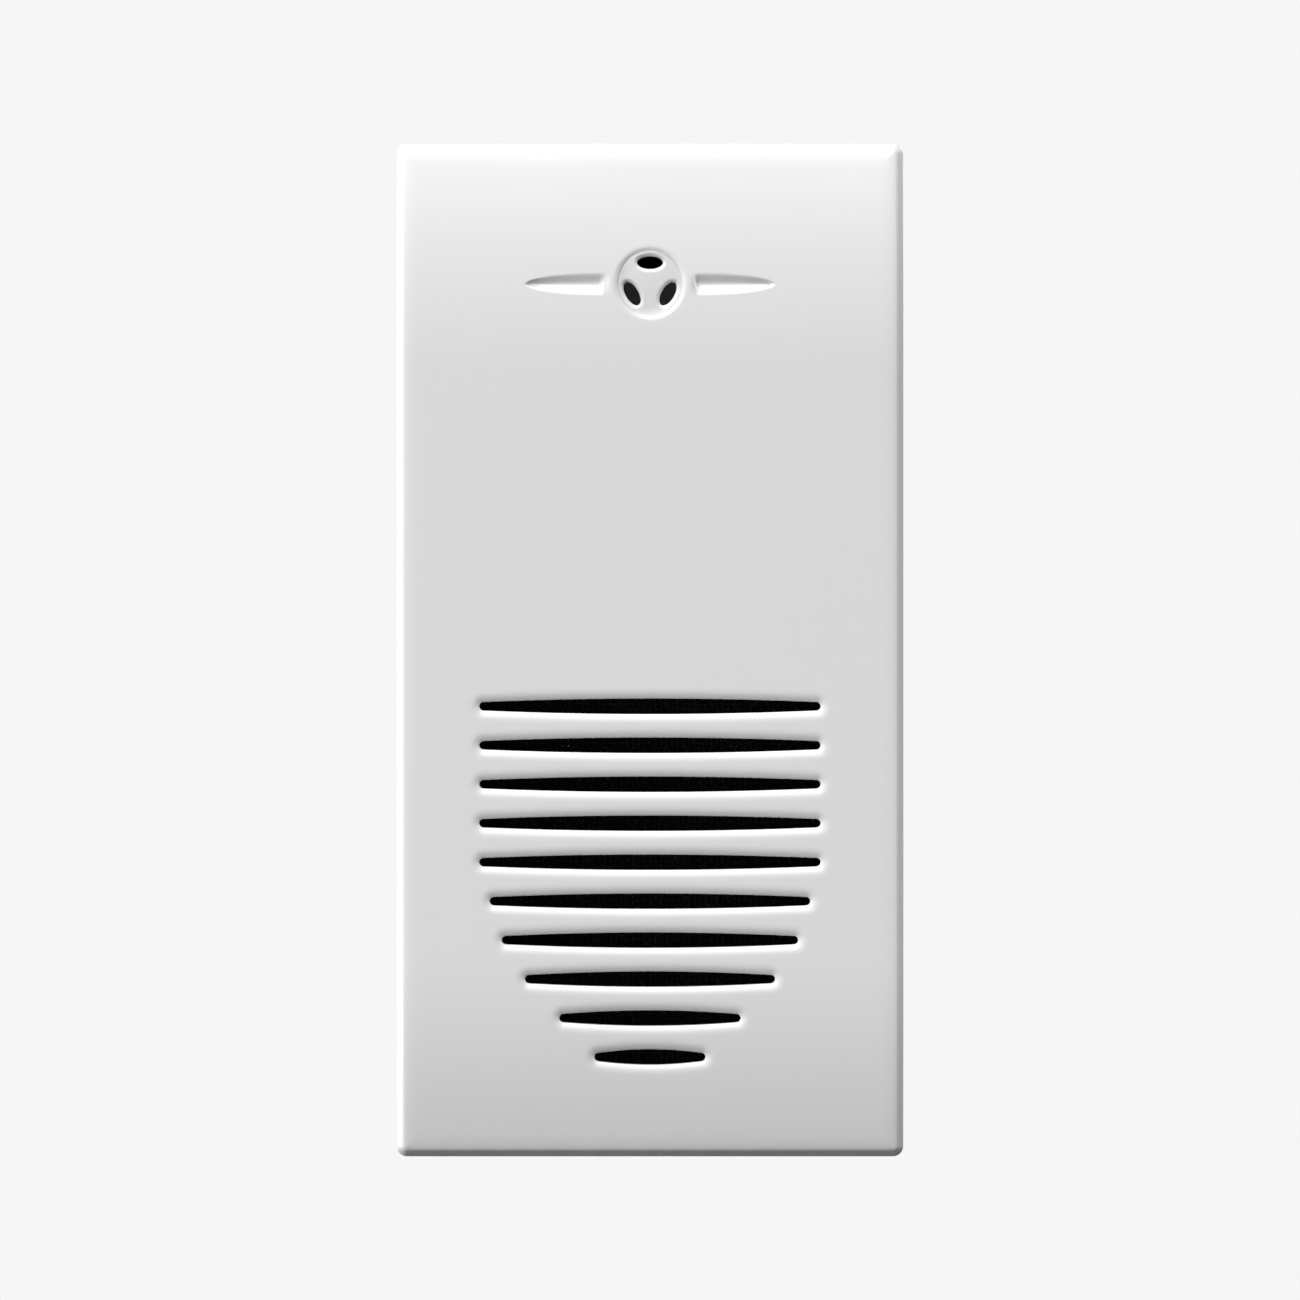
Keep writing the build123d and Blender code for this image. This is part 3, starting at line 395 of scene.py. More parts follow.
# Gong post, bush, washer and screw
# A turned brass post carries the gong on a black rubber bush, so that it rings
# freely. A washer and a slotted screw hold it from the front.
turned_brass = metal(
    "turned_brass", light=(0.83, 0.63, 0.29), dark=(0.74, 0.53, 0.21), roughness=0.2,
    stretch=(1, 0.08, 1)
)
softened("gong_post", turned_brass, edge=0.05 * mm)
bush_rubber = plastic(
    "bush_rubber", light=(0.022, 0.022, 0.023), dark=(0.016, 0.016, 0.017), roughness=0.62,
    grain=0.12 * mm, depth=0.006 * mm
)
softened("gong_bush", bush_rubber, edge=0.08 * mm)
softened("gong_washer", plated_steel, edge=0.04 * mm)
gong_head_length = 1.1 * mm
low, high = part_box("gong_screw")
seat = low.y + gong_head_length
screwed_in("gong_screw", [(0, seat, middle_of("gong_screw").z)], head_front,
           head_radius=(high.x - low.x) / 2, head_length=gong_head_length,
           shank_radius=0.95 * mm, shank_length=high.y - seat, pitch=0.4 * mm)

# Gong
# A dish pressed from bell metal and nickel plated, with its rim turned back. The
# press leaves rings round its middle, and the front is polished.


class Skin:
    """A surface collected point by point, with the true normal at each corner."""

    # Points nearer to each other than this are one point; the fill works in mm.
    grid, fill_grid = 1e-8, 1e-6

    def __init__(self):
        self.points, self.known, self.faces = [], {}, []
        self.front_holes, self.back_holes = [], []

    def corner(self, point, normal):
        """A corner of a face; points at the same place are shared."""
        key = tuple(round(value / self.grid) for value in point)
        if key not in self.known:
            self.known[key] = len(self.points)
            self.points.append(Vector(point))
        return self.known[key], Vector(normal).normalized()

    def ring(self, places):
        """Corners from pairs of a point and a normal."""
        return [self.corner(point, normal) for point, normal in places]

    def face(self, corners):
        """Adds a face, turned so that it looks the way its normals point."""
        kept = []
        for corner in corners:
            if all(corner[0] != other[0] for other in kept):
                kept.append(corner)
        if len(kept) < 3:
            return
        across = Vector()
        for here, there in zip(kept, kept[1:] + kept[:1]):
            across += self.points[here[0]].cross(self.points[there[0]])
        if across.dot(sum((corner[1] for corner in kept), Vector())) < 0:
            kept.reverse()
        self.faces.append(kept)

    def bridge(self, first, second):
        """Fills between two rings of as many corners."""
        for index, (here, there) in enumerate(zip(first, second)):
            after = (index + 1) % len(first)
            self.face([here, first[after], second[after], there])

    def fill(self, outer, holes, inner_points=(), lift=None):
        """Fills between rings drawn on X and Z, through extra points lifted onto the surface."""
        rings = [outer, *holes]
        corners = [corner for ring in rings for corner in ring]
        flat = [Vector((self.points[index].x, self.points[index].z)) / mm for index, normal in corners]
        edges, outlines, first = [], [], 0
        for ring in rings:
            edges += [(first + i, first + (i + 1) % len(ring)) for i in range(len(ring))]
            outlines.append(flat[first:first + len(ring)])
            first += len(ring)

        def on_skin(spot):
            return inside(outlines[0], spot) and not any(inside(hole, spot) for hole in outlines[1:])

        for x, z in inner_points:
            spot = Vector((x, z)) / mm
            if on_skin(spot):
                flat.append(spot)
                corners.append(self.corner(*lift(x, z)))
        triangles, sources = delaunay_2d_cdt(flat, edges, [], 0, self.fill_grid)[2:4]
        for triangle in triangles:
            ids = [sources[vertex][0] for vertex in triangle]
            if on_skin(sum((flat[i] for i in ids), Vector((0, 0))) / 3):
                self.face([corners[i] for i in ids])

    def mesh(self):
        """The finished mesh, with its normals."""
        mesh = bpy.data.meshes.new("skin")
        mesh.from_pydata(self.points, [], [[index for index, normal in face] for face in self.faces])
        smooth(mesh)
        mesh.normals_split_custom_set([normal for face in self.faces for index, normal in face])
        return mesh


def inside(outline, spot):
    """True if a spot lies within a closed outline."""
    if not min(p.x for p in outline) <= spot.x <= max(p.x for p in outline):
        return False
    crossings = 0
    for here, there in zip(outline, outline[1:] + outline[:1]):
        if (here.y > spot.y) != (there.y > spot.y):
            share = (spot.y - here.y) / (there.y - here.y)
            crossings += here.x + share * (there.x - here.x) > spot.x
    return crossings % 2 == 1


def circle(steps):
    """Directions round a circle, as pairs of cosine and sine."""
    turns = [2 * math.pi * index / steps for index in range(steps)]
    return [(math.cos(turn), math.sin(turn)) for turn in turns]


def arc_profile(radius, y, size, start, end, steps):
    """Profile points on an arc round (radius, y), as (radius, y, out, back)."""
    found = []
    for index in range(steps + 1):
        turn = math.radians(start + (end - start) * index / steps)
        out, back = math.cos(turn), math.sin(turn)
        found.append((radius + size * out, y + size * back, out, back))
    return found


def sharp_profile(*corners):
    """Profile points along straight sides, with each corner once for each of its sides."""
    found = []
    for (radius, y), (next_radius, next_y) in zip(corners, corners[1:]):
        length = math.hypot(next_radius - radius, next_y - y)
        out, back = (next_y - y) / length, (radius - next_radius) / length
        found += [(radius, y, out, back), (next_radius, next_y, out, back)]
    return found


def lathed(skin, profile, x, z, steps):
    """Turns a profile round an axis along Y, and returns its rings."""
    rings = []
    for radius, y, out, back in profile:
        rings.append(skin.ring([
            ((x + radius * way[0], y, z + radius * way[1]), (out * way[0], back, out * way[1]))
            for way in circle(steps)
        ]))
    for here, there in zip(rings, rings[1:]):
        skin.bridge(here, there)
    return rings


def turned(profile, x, z, steps):
    """The mesh of a closed profile turned round an axis along Y."""
    skin = Skin()
    lathed(skin, profile + profile[:1], x, z, steps)
    return skin.mesh()


bell_metal = metal(
    "bell_metal", light=(0.76, 0.72, 0.63), dark=(0.66, 0.62, 0.53), roughness=0.12,
    stretch=(1, 0.3, 1), depth=0.001 * mm
)
low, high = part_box("gong")
gong_radius = (high.x - low.x) / 2
gong_wall = 0.8 * mm
shoulder = 1.6 * mm
rim_round = gong_wall / 2
hole_radius = 1.56 * mm
profile = arc_profile(gong_radius - shoulder, low.y + shoulder, shoulder, -90, 0, steps=10)
profile += arc_profile(gong_radius - rim_round, high.y - rim_round, rim_round, 0, 180, steps=10)
inner_bend = arc_profile(gong_radius - shoulder, low.y + shoulder, shoulder - gong_wall, 0, -90, steps=8)
profile += [(radius, y, -out, -back) for radius, y, out, back in inner_bend]
profile += sharp_profile(
    (gong_radius - shoulder, low.y + gong_wall), (hole_radius, low.y + gong_wall),
    (hole_radius, low.y), (gong_radius - shoulder, low.y)
)
fit(turned(profile, 0, middle_of("gong").z, steps=144), "gong", bell_metal)

# Yoke
# The bent steel frame of the electromagnet, zinc plated, with two ears for the
# armature's pivot. Two screws from the back hold it on the housing's bosses.
zinc_plate = metal(
    "zinc_plate", light=(0.66, 0.65, 0.60), dark=(0.56, 0.55, 0.51), roughness=0.34,
    stretch=(0.2, 1, 1), depth=0.002 * mm
)
softened("yoke", zinc_plate, edge=0.1 * mm)
yoke_head_length = 1.3 * mm
low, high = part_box("yoke_screws")
yoke_head_radius = 1.9 * mm
seat = high.y - yoke_head_length
places = [
    (low.x + yoke_head_radius, seat, high.z - yoke_head_radius),
    (high.x - yoke_head_radius, seat, low.z + yoke_head_radius),
]
screwed_in("yoke_screws", places, head_back, head_radius=yoke_head_radius,
           head_length=yoke_head_length, shank_radius=1.0 * mm, shank_length=seat - low.y,
           pitch=0.4 * mm)

# Core, shim and bobbin
# The soft iron core is riveted in the yoke and faced with a brass shim. The
# bobbin is natural nylon, moulded in one piece with square flanges.
softened("core_pole", zinc_plate, edge=0.06 * mm)
softened("residual_shim", rolled_brass, edge=0.03 * mm)
bobbin_nylon = plastic(
    "bobbin_nylon", light=(0.73, 0.68, 0.54), dark=(0.68, 0.62, 0.47), roughness=0.4,
    grain=0.1 * mm, depth=0.003 * mm
)
softened("coil_bobbin", bobbin_nylon, edge=0.08 * mm)

# Coil winding, tape and leads
# Enamelled copper wire wound in even turns on the bobbin. A band of amber tape
# holds the outer layer, and the two ends go down to the contact tabs.
wound_wire, given = size_tree(
    "wound_wire", Float=("Turns", "Radius", "Length", "Wire Radius"), Int=("Steps", "Sides"),
    Vector=("Turn", "Place"), Material=("Material",),
)
wire_line = step(wound_wire, "GeometryNodeCurveSpiral", Resolution=given["Steps"],
                 Rotations=given["Turns"], Start_Radius=given["Radius"], End_Radius=given["Radius"],
                 Height=given["Length"])
wire_form = step(wound_wire, "GeometryNodeCurvePrimitiveCircle", Resolution=given["Sides"],
                 Radius=given["Wire Radius"])
wire = step(wound_wire, "GeometryNodeCurveToMesh", Curve=wire_line.outputs["Curve"],
            Profile_Curve=wire_form.outputs["Curve"], Fill_Caps=True)
laid = step(wound_wire, "GeometryNodeTransform", Geometry=wire.outputs["Mesh"],
            Translation=given["Place"], Rotation=given["Turn"])
end_tree(wound_wire, laid.outputs["Geometry"], given["Material"])

copper = metal(
    "copper_wire", light=(0.62, 0.20, 0.07), dark=(0.47, 0.13, 0.04), roughness=0.22,
    stretch=(1, 3, 1), depth=0, metallic=0.85, Coat_Weight=0.6, Coat_Roughness=0.08
)
low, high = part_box("coil_winding")
coil = middle_of("coil_winding")
magnet_wire = 0.12 * mm
winding_core = 2.85 * mm
layers_radius = (high.x - low.x) / 2 - magnet_wire
layers = turned(sharp_profile(
    (layers_radius, low.y), (layers_radius, high.y), (winding_core, high.y), (winding_core, low.y),
    (layers_radius, low.y)
), coil.x, coil.z, steps=64)
outer_layer = grown(wound_wire, {
    "Turns": float(round((high.y - low.y) / (2 * magnet_wire)) - 1), "Radius": layers_radius,
    "Length": high.y - low.y - 2 * magnet_wire, "Wire Radius": magnet_wire, "Steps": 56, "Sides": 8,
    "Turn": head_back, "Place": (coil.x, low.y + magnet_wire, coil.z), "Material": copper,
})


def together(*meshes):
    """Joins finished meshes into one, with their normals kept."""
    points, faces, normals = [], [], []
    for mesh in meshes:
        first = len(points)
        points += [vertex.co.copy() for vertex in mesh.vertices]
        faces += [[first + index for index in polygon.vertices] for polygon in mesh.polygons]
        normals += [corner.vector.copy() for corner in mesh.corner_normals]
    joined = bpy.data.meshes.new("joined")
    joined.from_pydata(points, [], faces)
    smooth(joined)
    joined.normals_split_custom_set(normals)
    return joined


fit(together(layers, outer_layer), "coil_winding", copper)
amber_tape = plastic(
    "amber_tape", light=(0.66, 0.42, 0.06), dark=(0.58, 0.34, 0.04), roughness=0.2, spread=0.1,
    grain=0.5 * mm, depth=0.01 * mm, Coat_Weight=0.5
)
softened("coil_tape", amber_tape, edge=0.03 * mm)
softened("coil_leads", copper, edge=0.03 * mm)

# Pivot pin, clip and return spring
# The headed steel pin runs through the yoke's ears and is held by an open ring.
# A small torsion spring on it swings the armature back to its stop.
drawn_steel = metal(
    "drawn_steel", light=(0.58, 0.58, 0.60), dark=(0.46, 0.46, 0.48), roughness=0.24,
    stretch=(0.1, 1, 1)
)
softened("pivot_pin", drawn_steel, edge=0.05 * mm)
softened("pivot_clip", drawn_steel, edge=0.03 * mm)
low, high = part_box("return_spring")
pin = middle_of("pivot_pin")
spring_wire = 0.15 * mm
spring_radius = high.z - pin.z - spring_wire
coils = grown(wound_wire, {
    "Turns": 5.0, "Radius": spring_radius, "Length": high.x - low.x - 2 * spring_wire,
    "Wire Radius": spring_wire, "Steps": 32, "Sides": 10, "Turn": (0, math.pi / 2, 0),
    "Place": (low.x + spring_wire, pin.y, pin.z), "Material": drawn_steel,
})
# The rear leg, a straight round wire with closed ends.
line = bpy.data.curves.new("leg", "CURVE")
line.dimensions = "3D"
line.bevel_depth = spring_wire
line.bevel_resolution = 3
line.use_fill_caps = True
spline = line.splines.new("POLY")
spline.points.add(1)
for place, y in zip(spline.points, (pin.y, high.y)):
    place.co = (high.x - spring_wire, y, pin.z + spring_radius, 1)
leg = with_modifiers(line, lambda holder: None)
fit(together(coils, leg), "return_spring", drawn_steel)

# Armature and striker
# The soft iron plate swings on the pin. A spring steel strip is riveted to it,
# and carries the turned brass hammer that strikes the gong's face.
softened("armature", zinc_plate, edge=0.08 * mm)
blue_steel = metal(
    "blue_steel", light=(0.46, 0.47, 0.50), dark=(0.36, 0.37, 0.40), roughness=0.22,
    stretch=(1, 1, 0.06)
)
softened("hammer_arm", blue_steel, edge=0.06 * mm)
softened("hammer_head", turned_brass, edge=0.06 * mm)
softened("hammer_rivets", plated_steel, edge=0.1 * mm)

# Retaining clips
# Two claws of spring steel strip, one above and one below. Each is pushed into a
# slot of the box and springs up behind the support frame's rail.
clip_steel = metal(
    "clip_steel", light=(0.46, 0.47, 0.50), dark=(0.40, 0.41, 0.44), roughness=0.26,
    stretch=(1, 0.02, 1), depth=0.0004 * mm
)
for end_name in ("top", "bottom"):
    softened(f"retaining_clip_{end_name}", clip_steel, edge=0.06 * mm)

# Front cover
# A cap of glossy white plastic, moulded in one piece. Its face rolls back at the
# top and bottom, and the slots and grooves have soft edges from the mould.
low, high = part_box("front_cover")
half_x, half_z = high.x, high.z
face_front, cover_back = low.y, high.y
wall = 1.1 * mm
face_wall = 1.6 * mm
inner_face = face_front + face_wall
inner_x, inner_z = half_x - wall, half_z - wall
corner_round, least_round, inner_round = 0.45 * mm, 0.04 * mm, 0.3 * mm
flat_top, flat_bottom = 12.65 * mm, -13.73 * mm
top_drop, bottom_drop = 1.0 * mm, 0.85 * mm


def rolled(z):
    """Y of the face at a height, and its slope there."""
    for start, drop, way in ((flat_top, top_drop, 1), (flat_bottom, bottom_drop, -1)):
        past = (z - start) * way
        if past > 0:
            run = half_z - start * way
            radius = (run**2 + drop**2) / (2 * drop)
            sag = math.sqrt(radius**2 - past**2)
            return face_front + radius - sag, way * past / radius
    return face_front, 0.0


def on_face(x, z):
    """A point on the face with its normal."""
    y, lean = rolled(z)
    return Vector((x, y, z)), Vector((0, -math.sqrt(1 - lean**2), lean))


corner_steps, level_steps, upright_steps = 8, 22, 44


def rounded_outline(reach_x, reach_z, radius):
    """Points and outward directions round a rectangle with round corners."""
    found = []
    for x_way, z_way, first in ((1, 1, 0), (-1, 1, 90), (-1, -1, 180), (1, -1, 270)):
        centre = (x_way * (reach_x - radius), z_way * (reach_z - radius))
        for index in range(corner_steps + 1):
            turn = math.radians(first + 90 * index / corner_steps)
            way = (math.cos(turn), math.sin(turn))
            found.append(((centre[0] + radius * way[0], centre[1] + radius * way[1]), way))
        level = x_way == z_way
        length = 2 * (reach_x - radius) if level else 2 * (reach_z - radius)
        steps = level_steps if level else upright_steps
        (x, z), way = found[-1]
        for index in range(1, steps):
            along = length * index / steps
            found.append(((x - way[1] * along, z + way[0] * along), way))
    return found


shell = Skin()
to_front, to_back = Vector((0, -1, 0)), Vector((0, 1, 0))
inner_outline = rounded_outline(inner_x, inner_z, inner_round)


def inner_ring(y, normal=None):
    """A ring inside the cover; its normals point inwards unless one is given."""
    return shell.ring([
        (Vector((x, y, z)), normal or (-way[0], 0, -way[1])) for (x, z), way in inner_outline
    ])


def rim(*steps):
    """A soft edge from (distance in mm, slope) steps: (distance, depth below the face, slope)."""
    depth, found = 0.0, [(steps[-1][0] * mm, 0.0, steps[-1][1])]
    for (near, steep), (far, shallow) in reversed(list(zip(steps, steps[1:]))):
        depth += (far - near) * mm * (steep + shallow) / 2
        found.insert(0, (near * mm, depth, steep))
    return found


def soft_edge(skin, loop_at, profile, base, lift):
    """A wall and its soft rim: returns the ring on the face and the ring at the wall's base."""
    back = skin.ring([(Vector((x, base, z)), (-way[0], 0, -way[1])) for (x, z), way in loop_at(0)])
    rows = [back]
    for off, down, slope in profile:
        places = []
        for (x, z), way in loop_at(off):
            point, normal = lift(x, z)
            lean = Vector((way[0], 0, way[1])) * slope
            places.append((point + to_back * down, normal / -normal.y - lean))
        rows.append(skin.ring(places))
    for here, there in zip(rows, rows[1:]):
        skin.bridge(here, there)
    return rows[-1], skin.ring([(skin.points[index], to_back) for index, normal in back])


def pierced(skin, loop, profile, base, lift):
    """Cuts a hole with a soft rim, and keeps its rings for the faces on both sides."""
    def loop_at(off):
        return [((x + way[0] * off, z + way[1] * off), way) for (x, z), way in loop]

    front, back = soft_edge(skin, loop_at, profile, base, lift)
    skin.front_holes.append(front)
    skin.back_holes.append(back)


def outer_loop(off):
    """The outline of the cover, moved in from its edge."""
    loop = rounded_outline(half_x - off, half_z - off, max(corner_round - off, least_round))
    return [(point, (-way[0], -way[1])) for point, way in loop]


# The front edges have a narrow flat, with a soft start on the face.
edge_rim = rim(
    (0, 14), (0.006, 3), (0.02, 1.3), (0.045, 1.02), (0.13, 1), (0.22, 0.93), (0.26, 0.7),
    (0.3, 0.4), (0.34, 0.2), (0.42, 0.1), (0.55, 0.055), (0.77, 0.02), (1, 0)
)
face_edge, back_edge = soft_edge(shell, outer_loop, edge_rim, cover_back, on_face)
shell.bridge(inner_ring(cover_back), inner_ring(inner_face))

# The slots: two long arcs that run into small round ends. Their widths, from the
# top down, are shares of the widest. The rim steepens towards the opening.
slot_width, slot_height, slot_end = 15.15 * mm, 0.69 * mm, 0.19 * mm
slot_pitch = 1.73 * mm
lowest_slot = -half_z + 4.43 * mm
slot_width_shares = (1, 1, 1, 1, 1, 0.939, 0.868, 0.733, 0.531, 0.325)


def lens_outline(width, height, end_radius, z, arc_steps=26, end_steps=8):
    """Points and outward directions round a slot."""
    reach = width / 2 - end_radius
    rise = height / 2
    arc = (reach**2 + rise**2 - end_radius**2) / (2 * (rise - end_radius))
    lean = math.asin(reach / (arc - end_radius))
    stretches = (
        (0, rise - arc, arc, -lean, lean, arc_steps),
        (reach, 0, end_radius, lean, math.pi - lean, end_steps),
        (0, arc - rise, arc, math.pi - lean, math.pi + lean, arc_steps),
        (-reach, 0, end_radius, math.pi + lean, 2 * math.pi - lean, end_steps),
    )
    found = []
    for centre_x, centre_z, radius, first, last, steps in stretches:
        for index in range(steps):
            turn = first + (last - first) * index / steps
            way = (math.sin(turn), math.cos(turn))
            found.append(((centre_x + radius * way[0], z + centre_z + radius * way[1]), way))
    return found


slot_rim = rim(
    (0, 12), (0.004, 3), (0.012, 1.3), (0.03, 0.62), (0.06, 0.5), (0.1, 0.42), (0.16, 0.33),
    (0.23, 0.22), (0.3, 0.13), (0.38, 0.06), (0.46, 0.02), (0.52, 0)
)
for row, share in enumerate(slot_width_shares):
    height = lowest_slot + (len(slot_width_shares) - 1 - row) * slot_pitch
    loop = lens_outline(slot_width * share, slot_height, slot_end, height)
    pierced(shell, loop, slot_rim, inner_face, on_face)

# The round hole for the dial, with a smaller rim.
dial_low, dial_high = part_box("volume_dial")
dial_z = middle_of("volume_dial").z
dial_hole = 1.428 * mm
round_steps = 72
hole_rim = rim((0, 5), (0.01, 0.5), (0.06, 0.48), (0.12, 0.36), (0.18, 0.16), (0.24, 0.04), (0.3, 0))
loop = [((dial_hole * way[0], dial_z + dial_hole * way[1]), way) for way in circle(round_steps)]
pierced(shell, loop, hole_rim, inner_face, on_face)

# The two index grooves: shallow scoops, square beside the dial and pointed at
# the outer end.
groove_start, groove_length = 1.92 * mm, 3.67 * mm
groove_rise = 0.52 * mm
groove_z = dial_z - 0.04 * mm
scoop_depth = 0.185 * mm
scoop_steps, groove_points, end_points = 14, 30, 8
end_slope, tip_slope = 0.2 * mm, 0.3 * mm
bow_start, bow_end, tip_crowding = 2.5, 0.6, 1.5
slope_step = 0.002 * mm


def groove_bow(share):
    """Half the height of a groove at a share of its length."""
    return groove_rise * max(1 - share**bow_start, 0) ** bow_end


def eased(share):
    """A soft rise from 0 to 1."""
    share = min(max(share, 0), 1)
    return share**2 * (3 - 2 * share)


def scoop(x, z):
    """Depth of a groove at a place."""
    along = abs(x) - groove_start
    bow = groove_bow(max(along, 0) / groove_length)
    across = eased(1 - abs(z - groove_z) / bow) if bow > 0 else 0
    wall_share = min(max(along / end_slope, 0), 1)
    return scoop_depth * across * wall_share * eased((groove_length - along) / tip_slope)


def groove_outline(side):
    """Points round a groove, each with the point of the spine that it slopes to."""
    found = []
    spine_start = groove_start + end_slope
    spine_end = groove_start + groove_length - tip_slope
    for way in (1, -1):
        along = range(groove_points + 1) if way > 0 else range(groove_points - 1, 0, -1)
        for index in along:
            share = 1 - (1 - index / groove_points) ** tip_crowding
            x = groove_start + groove_length * share
            spine = min(max(x, spine_start), spine_end)
            found.append(((side * x, groove_z + way * groove_bow(share)), (side * spine, groove_z)))
    for index in range(end_points - 1, 0, -1):
        rise = groove_rise * (1 - 2 * index / end_points)
        found.append(((side * groove_start, groove_z - rise), (side * spine_start, groove_z)))
    return found


def scooped(points):
    """Rows of a groove from its edge to its spine; returns the row on the face."""
    rows = []
    for index in range(scoop_steps + 1):
        share = index / scoop_steps
        places = []
        for (x, z), (to_x, to_z) in points:
            x += (to_x - x) * share
            z += (to_z - z) * share
            point, normal = on_face(x, z)
            across = (scoop(x + slope_step, z) - scoop(x - slope_step, z)) / (2 * slope_step)
            upward = (scoop(x, z + slope_step) - scoop(x, z - slope_step)) / (2 * slope_step)
            lean = Vector((across, 0, upward))
            places.append((point + to_back * scoop(x, z), normal / -normal.y + lean))
        rows.append(shell.ring(places))
    for here, there in zip(rows, rows[1:]):
        shell.bridge(here, there)
    return rows[0]


for side in (-1, 1):
    shell.front_holes.append(scooped(groove_outline(side)))

# The face is filled through a grid of points, so that it can roll.
column_count, row_count, edge_rows = 16, 80, 3
columns = [half_x * (2 * index / column_count - 1) for index in range(1, column_count)]
rows = [half_z * (2 * index / row_count - 1) for index in range(edge_rows, row_count + 1 - edge_rows)]
shell.fill(face_edge, shell.front_holes, [(x, z) for x in columns for z in rows], on_face)
shell.fill(inner_ring(inner_face, to_back), shell.back_holes)
shell.bridge(back_edge, inner_ring(cover_back, to_back))
cover_white = plastic(
    "cover_white", light=(0.80, 0.80, 0.812), dark=(0.785, 0.785, 0.80), roughness=0.3,
    grain=0.16 * mm, depth=0.0006 * mm
)
fit(shell.mesh(), "front_cover", cover_white)

# Dust screen
# Black woven gauze heat-staked on four pins behind the slots, as a dust screen for the gong.
# Its near-black colour is painted shade: it makes the slots look black from the front,
# in place of the shade inside the box.
# Almost no light comes back from this gauze: painted shade for the inside of the slots.
gauze_black = plastic(
    "gauze_black", light=(0.006, 0.006, 0.006), dark=(0.003, 0.003, 0.003), roughness=0.7,
    spread=0.1, grain=0.05 * mm, Specular_IOR_Level=0.1
)
weave, given = size_tree(
    "woven_gauze", Float=("Pitch", "Wire Radius", "Sway"), Int=("Rows", "Columns"), Vector=("Place",)
)
pitch = given["Pitch"]


def wave_along(sign):
    """Sideways offset that takes each wire over one crossing wire and under the next."""
    position = weave.nodes.new("GeometryNodeInputPosition").outputs["Position"]
    place = step(weave, "ShaderNodeSeparateXYZ", Vector=position)
    pace = calculate(weave, "DIVIDE", math.pi, pitch)
    waves = [
        calculate(weave, "COSINE", calculate(weave, "MULTIPLY", place.outputs[axis], pace))
        for axis in ("X", "Z")
    ]
    both = calculate(weave, "MULTIPLY", *waves)
    sway = calculate(weave, "MULTIPLY", given["Sway"], sign)
    return vector(weave, Y=calculate(weave, "MULTIPLY", both, sway))


def wire_set(count, crossed, run_axis, cross_axis, sign):
    """All wires that run one way, woven, from one place beyond the crossed wires to the other."""
    length = calculate(weave, "MULTIPLY", calculate(weave, "ADD", crossed, 1), pitch)
    start, end = [
        vector(weave, **{run_axis: calculate(weave, "MULTIPLY", length, share)}) for share in (-0.5, 0.5)
    ]
    line = step(weave, "GeometryNodeCurvePrimitiveLine", Start=start, End=end)
    fine = step(weave, "GeometryNodeResampleCurve", Curve=line.outputs["Curve"])
    fine.mode = "LENGTH"
    weave.links.new(pitch, fine.inputs["Length"])
    span = calculate(weave, "MULTIPLY", calculate(weave, "SUBTRACT", count, 1), pitch)
    first = vector(weave, **{cross_axis: calculate(weave, "MULTIPLY", span, -0.5)})
    points = step(weave, "GeometryNodeMeshLine", Count=count, Start_Location=first,
                  Offset=vector(weave, **{cross_axis: pitch}))
    copies = step(weave, "GeometryNodeInstanceOnPoints", Points=points.outputs["Mesh"],
                  Instance=fine.outputs["Curve"])
    real = step(weave, "GeometryNodeRealizeInstances", Geometry=copies.outputs["Instances"])
    woven = step(weave, "GeometryNodeSetPosition", Geometry=real.outputs["Geometry"],
                 Offset=wave_along(sign))
    return woven.outputs["Geometry"]


wires = join(
    weave,
    wire_set(given["Rows"], given["Columns"], "X", "Z", sign=1),
    wire_set(given["Columns"], given["Rows"], "Z", "X", sign=-1),
)
gauze_sides = 4
wire_form = step(weave, "GeometryNodeCurvePrimitiveCircle", Resolution=gauze_sides,
                 Radius=given["Wire Radius"])
tubes = step(weave, "GeometryNodeCurveToMesh", Curve=wires, Profile_Curve=wire_form.outputs["Curve"],
             Fill_Caps=True)
moved = step(weave, "GeometryNodeTransform", Geometry=tubes.outputs["Mesh"], Translation=given["Place"])
end_tree(weave, moved.outputs["Geometry"], gauze_black)

low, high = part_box("dust_screen")
gauze_pitch, gauze_wire, gauze_sway = 0.25 * mm, 0.11 * mm, 0.035 * mm
# An odd count of wires each way, so that one lies in the middle.
gauze = grown(weave, {
    "Pitch": gauze_pitch, "Wire Radius": gauze_wire, "Sway": gauze_sway,
    "Rows": int((high.z - low.z) / gauze_pitch / 2) * 2 - 1,
    "Columns": int((high.x - low.x) / gauze_pitch / 2) * 2 - 1,
    "Place": tuple(middle_of("dust_screen")),
})
fit(gauze, "dust_screen", gauze_black)

# Volume dial
# The small round knob in the cover, of the same white plastic. It stands a
# little below the face, and three oval holes take a fingertip or a tool.
dial_radius, dial_crown = 1.42 * mm, 0.05 * mm
crown_radius = dial_radius**2 / (2 * dial_crown)
collar_gap, collar_thickness = 0.05 * mm, 0.5 * mm
dial_front, collar_front = dial_low.y, inner_face + collar_gap
collar_radius, collar_back = 2.2 * mm, collar_front + collar_thickness
hub_radius, hub_back = 1.3 * mm, dial_high.y
socket_radius, socket_floor = 0.55 * mm, hub_back - 0.9 * mm
hole_ring, hole_half_length, hole_half_width = 0.92 * mm, 0.58 * mm, 0.29 * mm
knob_rim = rim((0, 6), (0.01, 1.4), (0.03, 0.8), (0.07, 0.62), (0.11, 0.4), (0.15, 0.14), (0.18, 0))
knob_edge = 0.02 * mm
knob = Skin()


def on_knob(x, z):
    """A point on the knob's front, which is very slightly crowned."""
    out = Vector((x, 0, z - dial_z))
    y = dial_front + out.length**2 / (2 * crown_radius)
    return Vector((x, y, z)), to_front + out / crown_radius


